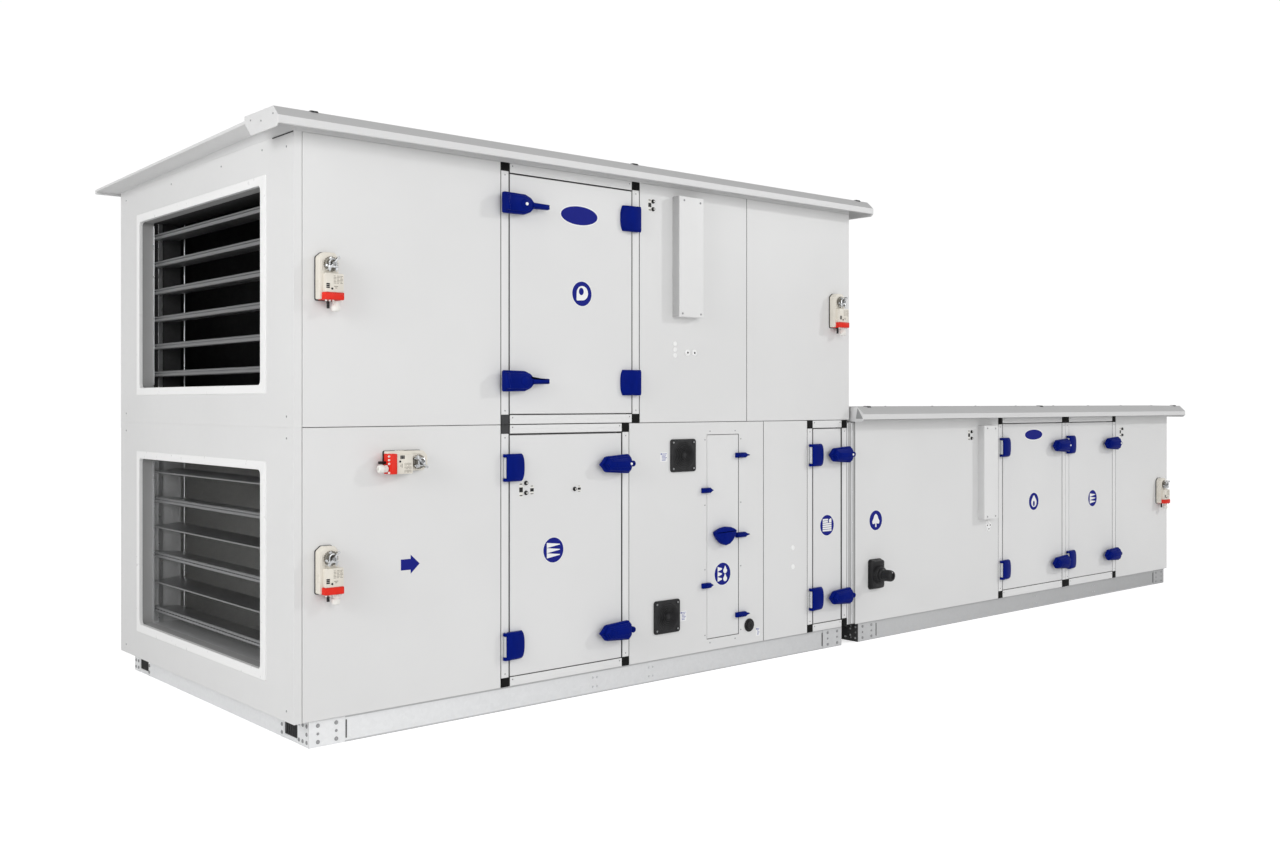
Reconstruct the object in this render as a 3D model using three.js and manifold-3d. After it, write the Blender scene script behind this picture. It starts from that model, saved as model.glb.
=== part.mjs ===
// Outdoor air handling unit: a two-deck section (extract above, supply below) joined to a
// single-deck supply section on its right. Millimetres, +Z up.
// The casing is drawn with X along its length from the left end wall, Y from the service face
// (the front) to the rear, and Z from its underside. The outer group then moves the unit so that
// the origin is the centre of its overall footprint, under the base frames.
import * as THREE from "three";
import { mergeVertices } from "three/addons/utils/BufferGeometryUtils.js";
import Module from "manifold-3d";

const wasm = await Module();
wasm.setup();

// ---------------------------------------------------------------- driving dimensions
const TWO_DECK_END = 3117; // the two-deck section runs along X from 0 to here
const JOINT_WIDTH = 50; // flange between the two sections
const SINGLE_START = TWO_DECK_END + JOINT_WIDTH;
const SINGLE_END = 6591;
const DEPTH = 1830;
const DECK = 1080; // height of one deck
const WALL = 45; // sandwich panel thickness
const END_WALL = 60; // outer end wall with its reveal trim
const FRONT = 45; // thickness of front panels and posts
const CORNER_RETURN = 31; // return of the left end wall round the front corner
const LOWER_FRAME_END = 3098; // right end of the lower front frame
const BASE_HEIGHT = 100;
const OVERRUN = 5; // cutters run past a face, and joined parts into each other, by this much

const ROOF_FRONT = -80; // fascia
const ROOF_BACK = 1890; // rear drip lip
const ROOF_LEFT = -98;
const ROOF_RIGHT = SINGLE_END + 109;
const KNOB_FRONT = -120; // isolator knob, the foremost part of the unit

const AXLE_R = 7;
const AXLE_HOLE_R = 9;
const SHAFT_FRONT = -70; // front end of the driven damper shafts
const BLADE_CLEARANCE = 4; // between blade end and damper frame

// air openings in the end walls: extent along Y, and thickness of the damper frame round them
const END_OPENING = { front: 280, back: 1580, rim: 25 };
const LOUVRE_HEIGHT = 760;
const INTAKE_Z = 157; // undersides of the two left openings
const EXHAUST_Z = DECK + INTAKE_Z;
const LOUVRE_FRAME_RIGHT = 190; // the frame reaches inwards from the end wall to here
const BLADE_COUNT = 6;
const BLADE_PITCH = 126;
const BLADE_X = (END_WALL + LOUVRE_FRAME_RIGHT) / 2;
const DRIVEN_BLADE = 3; // index of the blade whose axle reaches the actuator
const bladeZ = (bottom, i) =>
  bottom + (LOUVRE_HEIGHT - BLADE_PITCH * (BLADE_COUNT - 1)) / 2 + BLADE_PITCH * i;

// single-blade dampers: x and z place the axle, half is half the opening height
const RECIRC = {
  x: 495, z: 943, front: 300, back: 1500, rim: 12, halfWidth: 118, bottom: 880, chord: 230,
};
const RETURN = { ...END_OPENING, x: 3000, z: 1690, half: 120, chord: 228 };
const SUPPLY = { ...END_OPENING, x: 6470, z: 600, half: 116, chord: 222 };
const END_FRAME_REACH = 60; // end damper frame, inwards from its axle

// ---------------------------------------------------------------- modelling helpers
const AXIS_X = new THREE.Vector3(1, 0, 0);
const AXIS_Y = new THREE.Vector3(0, 1, 0);
const AXIS_Z = new THREE.Vector3(0, 0, 1);
const FORWARD = new THREE.Vector3(0, -1, 0);

const toSolid = (geometry) => {
  geometry.deleteAttribute("normal");
  geometry.deleteAttribute("uv");
  const merged = mergeVertices(geometry, 1e-4);
  return new wasm.Manifold(
    new wasm.Mesh({
      numProp: 3,
      vertProperties: new Float32Array(merged.attributes.position.array),
      triVerts: new Uint32Array(merged.index.array),
    }),
  );
};
const toGeometry = (solid) => {
  const mesh = solid.getMesh();
  const positions = new Float32Array(mesh.numVert * 3);
  for (let i = 0; i < mesh.numVert; i++) {
    const start = mesh.numProp * i;
    positions.set(mesh.vertProperties.subarray(start, start + 3), 3 * i);
  }
  const geometry = new THREE.BufferGeometry();
  geometry.setAttribute("position", new THREE.BufferAttribute(positions, 3));
  geometry.setIndex(new THREE.BufferAttribute(new Uint32Array(mesh.triVerts), 1));
  geometry.computeVertexNormals();
  return geometry;
};
const join = (...parts) => parts.reduce((whole, part) => whole.add(part));
const cut = (solid, ...cutters) => cutters.reduce((rest, cutter) => rest.subtract(cutter), solid);

const box = (left, right, front, back, bottom, top) =>
  toSolid(
    new THREE.BoxGeometry(right - left, back - front, top - bottom)
      .translate((left + right) / 2, (front + back) / 2, (bottom + top) / 2),
  );
const extrude = (points, depth, across, up, out, origin) => {
  const shape = new THREE.Shape(points.map((point) => new THREE.Vector2(...point)));
  const frame = new THREE.Matrix4().makeBasis(across, up, out).setPosition(...origin);
  const geometry = new THREE.ExtrudeGeometry(shape, { depth, bevelEnabled: false });
  return toSolid(geometry.applyMatrix4(frame));
};
// outline in (y, z)
const prismX = (points, from, to) =>
  extrude(points, to - from, AXIS_Y, AXIS_Z, AXIS_X, [from, 0, 0]);
// outline in (x, z)
const prismY = (points, from, to) =>
  extrude(points, to - from, AXIS_X, AXIS_Z, FORWARD, [0, to, 0]);
// outline in (x, y)
const prismZ = (points, from, to) =>
  extrude(points, to - from, AXIS_X, AXIS_Y, AXIS_Z, [0, 0, from]);

const cylinder = (radius, length, sides) =>
  new THREE.CylinderGeometry(radius, radius, length, sides);
const rodX = (y, z, radius, from, to, sides = 12) =>
  toSolid(
    cylinder(radius, to - from, sides).rotateZ(-Math.PI / 2).translate((from + to) / 2, y, z),
  );
const rodY = (x, z, radius, from, to, sides = 12) =>
  toSolid(cylinder(radius, to - from, sides).translate(x, (from + to) / 2, z));
const rodZ = (x, y, radius, from, to, sides = 12) =>
  toSolid(
    cylinder(radius, to - from, sides).rotateX(Math.PI / 2).translate(x, y, (from + to) / 2),
  );
// turned about the X axis: profile points are [x, radius]; one that starts off the axis is a ring
const turnedX = (profile, y = 0, z = 0) => {
  const closed = profile[0][1] === 0 ? profile : [...profile, profile[0]];
  const lathe = (points) =>
    toSolid(
      new THREE.LatheGeometry(points.map(([x, radius]) => new THREE.Vector2(radius, x)), 24)
        .rotateZ(-Math.PI / 2)
        .translate(0, y, z),
    );
  const solid = lathe(closed);
  // a negative volume means the profile ran the other way and the faces point inwards
  return solid.volume() > 0 ? solid : lathe([...closed].reverse());
};

// ---------------------------------------------------------------- finishes and groups
const FINISH = {
  panel: { color: 0xd9d9d8, roughness: 0.45, metalness: 0.1 },
  galvanised: { color: 0xb9bcbd, roughness: 0.42, metalness: 0.8 },
  aluminium: { color: 0xa8adb0, roughness: 0.35, metalness: 0.9 },
  roof: { color: 0xc9cbcc, roughness: 0.4, metalness: 0.4 },
  blue: { color: 0x14217a, roughness: 0.35, metalness: 0 },
  actuator: { color: 0xd8d2c4, roughness: 0.5, metalness: 0 },
  black: { color: 0x1b1b1d, roughness: 0.5, metalness: 0 },
  media: { color: 0xe6e3da, roughness: 0.9, metalness: 0 },
  copper: { color: 0x9aa0a2, roughness: 0.4, metalness: 0.8 },
};

const group = new THREE.Group();
group.position.set(-(ROOF_LEFT + ROOF_RIGHT) / 2, -(KNOB_FRONT + ROOF_BACK) / 2, BASE_HEIGHT);
const twoDeck = new THREE.Group();
const singleDeck = new THREE.Group();
group.add(twoDeck, singleDeck);

// turn is an angle about the piece's own Y axis, worked into its geometry
const put = (parent, name, solid, material, position = [0, 0, 0], turn = 0) => {
  const geometry = toGeometry(solid);
  if (turn) geometry.rotateY(turn);
  const mesh = new THREE.Mesh(geometry, new THREE.MeshStandardMaterial(FINISH[material]));
  mesh.name = name;
  mesh.position.set(...position);
  parent.add(mesh);
};

// ---------------------------------------------------------------- base frames
// ladder frame of folded channels, open on the inside, with two lifting sockets in each end beam
const baseFrame = (left, right, crossings) => {
  const front = 12;
  const back = DEPTH - front;
  const beam = 60;
  const sheet = 6;
  const sockets = [left, right - 8].flatMap((x) => [
    box(x - 2, x + 10, front + 93, front + 203, -82, -16),
    box(x - 2, x + 10, back - 173, back - 66, -82, -16),
  ]);
  const ring = cut(
    box(left, right, front, back, -BASE_HEIGHT, 0),
    box(
      left + beam, right - beam, front + beam, back - beam, -BASE_HEIGHT - OVERRUN, OVERRUN,
    ),
    box(
      left + sheet, right - sheet, front + sheet, back - sheet, -BASE_HEIGHT + sheet, -sheet,
    ),
  );
  const crossBeams = crossings.map((x) =>
    box(x - beam / 2, x + beam / 2, front + 3, back - 3, -BASE_HEIGHT + 3, -3),
  );
  return cut(join(ring, ...crossBeams), ...sockets);
};
put(twoDeck, "two_deck_base_frame", baseFrame(65, 3065, [1065, 2065]), "galvanised");
put(singleDeck, "single_deck_base_frame", baseFrame(3205, 6560, [4320, 5440]), "galvanised");

// ---------------------------------------------------------------- deck shells
// floor, ceiling, rear wall and end walls of one deck, open at the service face
const shell = (left, right, bottom, leftWall, rightWall) =>
  cut(
    box(left, right, FRONT, DEPTH, bottom, bottom + DECK),
    box(
      left + leftWall, right - rightWall, FRONT - OVERRUN, DEPTH - WALL,
      bottom + WALL, bottom + DECK - WALL,
    ),
  );
const cornerReturn = (bottom) =>
  box(0, CORNER_RETURN, 0, FRONT + OVERRUN, bottom, bottom + DECK);
// holes for an axle through the front and back plates of a damper frame
const axleHoles = ({ front, back, rim }, x, z, sides = 12) => [
  rodY(x, z, AXLE_HOLE_R, front - rim - 2, front + 2, sides),
  rodY(x, z, AXLE_HOLE_R, back - 2, back + rim + 2, sides),
];
// passage cut through both end walls at the joint
const passage = (left, right) => {
  const inset = 100;
  return box(left - OVERRUN, right + OVERRUN, inset, DEPTH - inset, inset, DECK - inset);
};

// damper frame inside the left end wall, round an opening with its underside at bottom
const louvreFrame = (bottom) => {
  const { front, back, rim } = END_OPENING;
  const top = bottom + LOUVRE_HEIGHT;
  return cut(
    box(END_WALL - 2, LOUVRE_FRAME_RIGHT, front - rim, back + rim, bottom - rim, top + rim),
    box(END_WALL - OVERRUN, LOUVRE_FRAME_RIGHT + OVERRUN, front, back, bottom, top),
  );
};
const louvreOpening = (bottom) =>
  box(
    -OVERRUN, END_WALL + OVERRUN, END_OPENING.front, END_OPENING.back,
    bottom, bottom + LOUVRE_HEIGHT,
  );
const louvreHoles = (bottom) =>
  Array.from({ length: BLADE_COUNT }, (_, i) =>
    axleHoles(END_OPENING, BLADE_X, bladeZ(bottom, i), 8),
  ).flat();

// recirculation opening through the middle deck, with a collar hung under it; margin widens it
const recircBox = (bottom, top, margin = 0) =>
  box(
    RECIRC.x - RECIRC.halfWidth - margin, RECIRC.x + RECIRC.halfWidth + margin,
    RECIRC.front - margin, RECIRC.back + margin, bottom, top,
  );
const recircCollar = cut(
  recircBox(RECIRC.bottom, DECK - WALL + OVERRUN, RECIRC.rim),
  recircBox(RECIRC.bottom - 10, DECK),
);

const lowerShell = cut(
  join(
    shell(0, TWO_DECK_END, 0, END_WALL, WALL),
    cornerReturn(0),
    louvreFrame(INTAKE_Z),
    recircCollar,
  ),
  louvreOpening(INTAKE_Z),
  passage(TWO_DECK_END - WALL, TWO_DECK_END),
  recircBox(DECK - WALL - OVERRUN, DECK + OVERRUN),
  ...louvreHoles(INTAKE_Z),
  ...axleHoles(RECIRC, RECIRC.x, RECIRC.z),
);
put(twoDeck, "lower_deck_shell", lowerShell, "panel");

// block of the size of an end damper, centred on its axle height
const endDamperBox = ({ z }, left, right, front, back, half) =>
  box(left, right, front, back, z - half, z + half);

// return-air inlet in the right end wall, with a closed damper frame inside it
const upperShell = cut(
  join(
    shell(0, TWO_DECK_END, DECK, END_WALL, WALL),
    cornerReturn(DECK),
    louvreFrame(EXHAUST_Z),
    endDamperBox(
      RETURN, RETURN.x - END_FRAME_REACH, TWO_DECK_END - WALL + OVERRUN,
      RETURN.front - RETURN.rim, RETURN.back + RETURN.rim, RETURN.half + RETURN.rim,
    ),
  ),
  louvreOpening(EXHAUST_Z),
  recircBox(DECK - OVERRUN, DECK + WALL + OVERRUN),
  endDamperBox(
    RETURN, RETURN.x - END_FRAME_REACH - OVERRUN, TWO_DECK_END + OVERRUN,
    RETURN.front, RETURN.back, RETURN.half,
  ),
  ...louvreHoles(EXHAUST_Z),
  ...axleHoles(RETURN, RETURN.x, RETURN.z),
);
put(twoDeck, "upper_deck_shell", upperShell, "panel");

// supply outlet in the right end wall, with a bearing plate at each end of its blade
const supplyPlate = (front, back) =>
  endDamperBox(
    SUPPLY, SUPPLY.x - END_FRAME_REACH, SINGLE_END - END_WALL + OVERRUN, front, back, 140,
  );
const singleShell = cut(
  join(
    shell(SINGLE_START, SINGLE_END, 0, WALL, END_WALL),
    supplyPlate(SUPPLY.front - SUPPLY.rim, SUPPLY.front),
    supplyPlate(SUPPLY.back, SUPPLY.back + SUPPLY.rim),
  ),
  passage(SINGLE_START, SINGLE_START + WALL),
  endDamperBox(
    SUPPLY, SINGLE_END - END_WALL - OVERRUN, SINGLE_END + OVERRUN,
    SUPPLY.front, SUPPLY.back, SUPPLY.half,
  ),
  ...axleHoles(SUPPLY, SUPPLY.x, SUPPLY.z),
);
put(singleDeck, "single_deck_shell", singleShell, "panel");

// flange frame between the sections, with a recessed flange beside the lower front frame
const jointFrame = join(
  cut(
    box(TWO_DECK_END, SINGLE_START, 8, DEPTH - 8, 4, 1066),
    box(TWO_DECK_END - OVERRUN, SINGLE_START + OVERRUN, 60, DEPTH - 60, 60, 1018),
  ),
  box(LOWER_FRAME_END + 0.5, TWO_DECK_END + OVERRUN, 12, FRONT - 0.5, 4, 1066),
);
put(twoDeck, "section_joint_frame", jointFrame, "galvanised");

// ---------------------------------------------------------------- doors
const HINGE = {
  out: 12, // pin axis in front of the face
  aside: 29, // pin axis beside the door edge
  halfHeight: 56.5,
  leafEnd: 84, // far edge of the leaf, from the pin axis
  leafFront: -25,
  padFront: -15, // lower, outer part of the leaf
};
// a lever reaches this far back from its pivot, and so this far over the post beside the door
const LEVER_BACK = 66;
const OVER_RIGHT_POST = 41;
const OVER_LEFT_POST = 34;

// lever outlines in (x, z) about the pivot, tip towards -x
const LEVER_PADDLE = [
  [66, -38], [66, 38], [60, 42], [-30, 42], [-56, 30], [-68, 12],
  [-134, 10], [-134, -10], [-68, -12], [-56, -30], [-30, -42], [60, -42],
];
const LEVER_POINTED = [
  [-134, 0], [-128, 8], [-100, 40], [-90, 42], [30, 42], [46, 26], [48, 14], [66, 14],
  [66, -14], [48, -14], [46, -26], [30, -42], [-90, -42], [-100, -40], [-128, -8],
];

// hinge is the side of the door that carries the hinges: -1 left, 1 right
const lowerDoor = (name, left, right, bottom) => ({
  name, left, right, bottom, top: bottom + 995,
  hinge: -1, hingeZ: [169, 903], handleZ: [165, 901], outline: LEVER_POINTED,
});
const UPPER_DOOR = {
  name: "upper_fan", left: 953, right: 1614, bottom: 1124, top: 2115,
  hinge: 1, hingeZ: [1260, 1990], handleZ: [1260, 1990], outline: LEVER_PADDLE,
};
const FILTER_DOOR = lowerDoor("filter", 953, 1553, 41);
const HEATER_DOOR = lowerDoor("heater", 2835, 3050, 41);
const FAN_DOOR = lowerDoor("supply_fan", 4545, 5206, 47);
const FINE_DOOR = lowerDoor("fine_filter", 5291, 5833, 47);
const HATCH = { left: 2081, right: 2291, bottom: 57, top: 1018 };

const pinX = ({ left, right, hinge }) => (hinge < 0 ? left - HINGE.aside : right + HINGE.aside);
const pivotX = ({ left, right, hinge }) =>
  hinge < 0 ? right + OVER_RIGHT_POST - LEVER_BACK : left - OVER_LEFT_POST + LEVER_BACK;

// stepped hinge leaf with two ears round the pin
const hingeLeaf = (door, z) => {
  const pin = pinX(door);
  const { halfHeight, leafEnd, leafFront, padFront } = HINGE;
  // box whose X extent is measured from the pin towards the door
  const slab = (near, far, ...extent) =>
    door.hinge < 0 ? box(pin + near, pin + far, ...extent) : box(pin - far, pin - near, ...extent);
  const bottom = z - halfHeight;
  const top = z + halfHeight;
  const ears = [[bottom, z - 29.5], [z + 29.5, top]].flatMap(([from, to]) => [
    rodZ(pin, -HINGE.out, 12, from, to),
    slab(0, 16, -24, -3, from, to),
  ]);
  return join(
    cut(
      slab(12, leafEnd, leafFront, 0, bottom, top),
      slab(58, leafEnd + 2, leafFront - 2, padFront, z - 60, z + 60),
    ),
    slab(leafEnd - 50, leafEnd, padFront, OVERRUN, bottom, top),
    ...ears,
  );
};
// the hinge leaves, and the boss and pin of each handle, are one piece with the door
const doorPanel = (door) =>
  join(
    box(door.left, door.right, 0, FRONT, door.bottom, door.top),
    ...door.hingeZ.map((z) => hingeLeaf(door, z)),
    ...door.handleZ.flatMap((z) => [
      rodY(pivotX(door), z, 22, -20, OVERRUN, 16),
      rodY(pivotX(door), z, 8, -38, -19, 10),
    ]),
  );
// lever with a smaller raised front layer and a blind hole for its pin; the tip is at the hinges
const lever = ({ hinge, outline }) => {
  const handed = outline.map(([x, z]) => [-hinge * x, z]);
  const raised = handed.map(([x, z]) => [x * 0.9, z * 0.8]);
  return cut(
    join(prismY(handed, -36, -20.5), prismY(raised, -46, -35)),
    rodY(0, 0, 9, -40, -19, 10),
  );
};
const putDoor = (parent, door) => {
  put(parent, `${door.name}_door`, doorPanel(door), "panel");
  door.handleZ.forEach((z, i) => {
    const name = `${door.name}_${i ? "top" : "bottom"}_handle`;
    put(parent, name, lever(door), "blue", [pivotX(door), 0, z]);
  });
};
for (const door of [UPPER_DOOR, FILTER_DOOR, HEATER_DOOR]) putDoor(twoDeck, door);
for (const door of [FAN_DOOR, FINE_DOOR]) putDoor(singleDeck, door);

// ---------------------------------------------------------------- front frames
// hole for a door or hatch, with the gap round it
const doorway = ({ left, right, bottom, top }) => {
  const gap = 2.5;
  return box(left - gap, right + gap, -OVERRUN, FRONT + OVERRUN, bottom - gap, top + gap);
};
// upright joint line between panels
const groove = (x, bottom) => {
  const halfWidth = 1.5;
  const depth = 6;
  return box(
    x - halfWidth, x + halfWidth, -OVERRUN, depth, bottom - OVERRUN, bottom + DECK + OVERRUN,
  );
};
const shaftHole = ([x, z]) => rodY(x, z, AXLE_HOLE_R, -OVERRUN, FRONT + OVERRUN, 16);
// fixed half of a hinge: a knuckle on a foot, between the ears of the leaf
const knuckle = (x, z) => {
  const radius = 10.5;
  const half = 28;
  return join(
    rodZ(x, -HINGE.out, radius, z - half, z + half),
    box(x - radius, x + radius, -HINGE.out, 4, z - half, z + half),
  );
};
// shafts are [x, z] of damper shafts; fittings are solids fixed to the frame
const frontFrame = ({ left, right, bottom, doors, hatches = [], grooves, shafts, fittings }) =>
  join(
    cut(
      box(left, right, 0, FRONT, bottom, bottom + DECK),
      ...[...doors, ...hatches].map(doorway),
      ...grooves.map((x) => groove(x, bottom)),
      ...shafts.map(shaftHole),
    ),
    ...doors.flatMap((door) => door.hingeZ.map((z) => knuckle(pinX(door), z))),
    ...fittings,
  );
const grommetPlate = (left, bottom) => box(left, left + 160, -8, OVERRUN, bottom, bottom + 153);
const cableCover = (left, right, bottom, top) => box(left, right, -45, OVERRUN, bottom, top);

const lowerFrame = frontFrame({
  left: CORNER_RETURN + 2,
  right: LOWER_FRAME_END,
  bottom: 0,
  doors: [FILTER_DOOR, HEATER_DOOR],
  hatches: [HATCH],
  grooves: [908, 1598, 2467, 2789],
  shafts: [[BLADE_X, bladeZ(INTAKE_Z, DRIVEN_BLADE)], [RECIRC.x, RECIRC.z]],
  fittings: [
    grommetPlate(1844, 850),
    grommetPlate(1743, 115),
    rodY(2364, 90, 32, -10, OVERRUN, 20), // condensate drain plug
  ],
});
put(twoDeck, "lower_front_frame", lowerFrame, "panel");

const upperFrame = frontFrame({
  left: CORNER_RETURN + 2,
  right: TWO_DECK_END,
  bottom: DECK,
  doors: [UPPER_DOOR],
  grooves: [908, 1660, 2349],
  shafts: [[BLADE_X, bladeZ(EXHAUST_Z, DRIVEN_BLADE)], [RETURN.x, RETURN.z]],
  fittings: [cableCover(1861, 2019, 1565, 2118)],
});
put(twoDeck, "upper_front_frame", upperFrame, "panel");

const singleFrame = frontFrame({
  left: SINGLE_START,
  right: SINGLE_END,
  bottom: 0,
  doors: [FAN_DOOR, FINE_DOOR],
  grooves: [4497, 5249, 5877],
  shafts: [[SUPPLY.x, SUPPLY.z]],
  fittings: [cableCover(4284, 4430, 488, 1036)],
});
put(singleDeck, "single_deck_front_frame", singleFrame, "panel");

// ---------------------------------------------------------------- roofs
// sections as [y, height above the casing top]
const ROOF_CAP = [ // folded fascia and ridge
  [ROOF_FRONT, 2], [-66, 2], [-66, 24], [-34, 53], [206, 53],
  [206, 70], [-40, 68], [ROOF_FRONT, 30],
];
const ROOF_SHEET = [ // falls to the drip lip at the rear
  [190, 41], [1876, 3], [1876, -7], [ROOF_BACK, -7], [ROOF_BACK, 13], [190, 54],
];
const ROOF_END = [
  [ROOF_FRONT, 2], [-66, -10], [150, -10], [206, 45], [206, 70], [-40, 68], [ROOF_FRONT, 30],
];
const ROOF_FILLER = [[0, 0], [DEPTH, 0], [DEPTH, 6], [200, 46], [200, 60], [0, 60]];

const roof = ({ left, right, casingLeft, casingRight, casingTop }) => {
  const part = (section, from, to) =>
    prismX(section.map(([y, height]) => [y, casingTop + height]), from, to);
  const endPlate = 4;
  return join(
    part(ROOF_CAP, left, right),
    part(ROOF_SHEET, left, right),
    part(ROOF_END, left, left + endPlate),
    part(ROOF_END, right - endPlate, right),
    part(ROOF_FILLER, casingLeft, casingRight),
  );
};
const twoDeckRoof = roof({
  left: ROOF_LEFT,
  right: TWO_DECK_END + 102,
  casingLeft: 0,
  casingRight: TWO_DECK_END,
  casingTop: 2 * DECK,
});
const singleDeckRoof = roof({
  left: TWO_DECK_END + 20,
  right: ROOF_RIGHT,
  casingLeft: SINGLE_START,
  casingRight: SINGLE_END,
  casingTop: DECK,
});
put(twoDeck, "two_deck_roof", twoDeckRoof, "roof");
put(singleDeck, "single_deck_roof", singleDeckRoof, "roof");

// ---------------------------------------------------------------- lift-out hatch
// grip outline in (x, z) about its own centre
const GRIP = [
  [-70, 14], [-50, 38], [0, 46], [50, 38], [76, 14],
  [60, -14], [24, -40], [0, -46], [-24, -40], [-56, -14],
];
const GRIP_X = (HATCH.left + HATCH.right) / 2;
const GRIP_Z = 537;
// turn clip outline in (x, z) about its pin, tip towards +x
const CLIP = [
  [-12, -8], [10, -13], [50, -12], [72, -8], [74, 0], [72, 8], [50, 12], [10, 13], [-12, 8],
];
// name ending, x and z of the pin, and X scale: left clips point to -x and are shorter
const CLIPS = [
  ["right_top", 2279, 918, 1],
  ["right_middle", 2279, 534, 1],
  ["right_bottom", 2279, 150, 1],
  ["left_top", 2097, 758, -0.75],
  ["left_bottom", 2097, 310, -0.75],
];
const hatch = join(
  box(HATCH.left, HATCH.right, 0, FRONT, HATCH.bottom, HATCH.top),
  prismY(GRIP.map(([x, z]) => [x + GRIP_X, z + GRIP_Z]), -40, 3),
  ...CLIPS.map(([, x, z]) => rodY(x, z, 4, -12, 3)),
);
put(twoDeck, "service_hatch", hatch, "panel");
for (const [ending, pinAtX, pinAtZ, scale] of CLIPS) {
  const outline = CLIP.map(([x, z]) => [x * scale, z]);
  const clip = cut(prismY(outline, -20, -1), rodY(0, 0, 5, -14, 0));
  put(twoDeck, `hatch_clip_${ending}`, clip, "blue", [pinAtX, 0, pinAtZ]);
}

// ---------------------------------------------------------------- isolator switch
const ISOLATOR = { x: 3328, z: 252 };
const ISOLATOR_CASE = [ // (x, z)
  [3272, 190], [3272, 315], [3290, 333], [3367, 333],
  [3385, 315], [3385, 190], [3367, 172], [3290, 172],
];
const KNOB_GRIP = [ // (x, z) about the spindle
  [-28, -9], [-24, -12], [24, -12], [28, -9], [28, 9], [24, 12], [-24, 12], [-28, 9],
];
const isolatorBody = cut(
  join(prismY(ISOLATOR_CASE, -28, 0), rodY(ISOLATOR.x, ISOLATOR.z, 45, -50, -26, 28)),
  rodY(ISOLATOR.x, ISOLATOR.z, 9, -52, -20, 16),
);
const isolatorKnob = join(
  rodY(0, 0, 8, -52, -22, 16), // spindle
  rodY(0, 0, 33, -66, -50.5, 28), // flange
  rodY(0, 0, 25, -112, -65, 24), // barrel
  prismY(KNOB_GRIP, KNOB_FRONT, -80),
);
put(singleDeck, "isolator_body", isolatorBody, "black");
put(singleDeck, "isolator_knob", isolatorKnob, "black", [ISOLATOR.x, 0, ISOLATOR.z]);

// ---------------------------------------------------------------- damper actuators
// drawn about the driven shaft, with the case hanging below it
const actuator = () =>
  cut(
    join(
      box(-44, 44, -60, 0, -136, 44), // case
      box(-40, 40, -64, -55, -136, -104), // terminal cover
      rodZ(14, -34, 13, -172, -130, 14), // cable gland
      rodY(0, 0, 24, -72, -59, 16), // boss round the shaft
      box(-7, 7, -74, -59, 10, 48), // bar above the shaft
    ),
    rodY(0, 0, AXLE_HOLE_R, -80, OVERRUN),
  );
const putActuator = (parent, damper, x, z, turn) =>
  put(parent, `${damper}_damper_actuator`, actuator(), "actuator", [x, 0, z], turn);
putActuator(twoDeck, "exhaust", BLADE_X, bladeZ(EXHAUST_Z, DRIVEN_BLADE));
putActuator(twoDeck, "intake", BLADE_X, bladeZ(INTAKE_Z, DRIVEN_BLADE));
putActuator(twoDeck, "recirculation", RECIRC.x, RECIRC.z, Math.PI / 2);
putActuator(twoDeck, "return", RETURN.x, RETURN.z);
putActuator(singleDeck, "supply", SUPPLY.x, SUPPLY.z);

// ---------------------------------------------------------------- damper blades
// blade with an axle stub at each end; a driven one reaches out through the front
const blade = (outline, { front, back, rim }, driven) =>
  join(
    prismY(outline, front + BLADE_CLEARANCE, back - BLADE_CLEARANCE),
    rodY(0, 0, AXLE_R, driven ? SHAFT_FRONT : front - rim, front + BLADE_CLEARANCE + 3, 10),
    rodY(0, 0, AXLE_R, back - BLADE_CLEARANCE - 3, back + rim, 10),
  );

// louvre section in (x, z): thick notched nose towards -x, thin lip towards +x
const LOUVRE_SECTION = [
  [-60, -9], [-56, -13], [-40, -13], [0, -8], [60, -3], [60, 3], [0, 8],
  [-40, 13], [-56, 13], [-60, 9], [-60, 4], [-53, 4], [-53, 0], [-60, 0],
];
const LOUVRE_FLIPPED = LOUVRE_SECTION.map(([x, z]) => [-x, z]);
for (let i = 0; i < BLADE_COUNT; i++) {
  const putLouvre = (name, section, bottom) => {
    const solid = blade(section, END_OPENING, i === DRIVEN_BLADE);
    put(twoDeck, `${name}_blade_${i + 1}`, solid, "aluminium", [BLADE_X, 0, bladeZ(bottom, i)]);
  };
  putLouvre("exhaust", LOUVRE_SECTION, EXHAUST_Z);
  putLouvre("intake", i % 2 ? LOUVRE_FLIPPED : LOUVRE_SECTION, INTAKE_Z);
}

// wide blade section in (x, z), lying flat
const wideSection = (chord) => {
  const half = chord / 2;
  return [
    [-half, -2], [-10, -9], [10, -9], [half, -2], [half, 2], [10, 9], [-10, 9], [-half, 2],
  ];
};
const upright = (section) => section.map(([x, z]) => [-z, x]);
const putWideBlade = (parent, name, section, damper) =>
  put(parent, name, blade(section, damper, true), "aluminium", [damper.x, 0, damper.z]);
putWideBlade(twoDeck, "recirculation_blade", wideSection(RECIRC.chord), RECIRC);
putWideBlade(twoDeck, "return_air_blade", upright(wideSection(RETURN.chord)), RETURN);
putWideBlade(singleDeck, "supply_outlet_blade", upright(wideSection(SUPPLY.chord)), SUPPLY);

// ---------------------------------------------------------------- plug fans
const FAN_R = 280;
const FAN_HALF = 85; // half the impeller width
const FAN_BLADES = 7;
const FAN_Y = DEPTH / 2;
const FAN_Z = DECK / 2; // above the underside of its deck

// one curved impeller blade, outline in (y, z)
const fanBlade = () => {
  const edge = (turn) =>
    [0, 0.34, 0.67, 1].map((t) => {
      const radius = 150 + 128 * t;
      const angle = turn - 0.75 * t;
      return [radius * Math.cos(angle), radius * Math.sin(angle)];
    });
  return prismX([...edge(0), ...edge(0.028).reverse()], -FAN_HALF + 2, FAN_HALF + 2);
};
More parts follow.
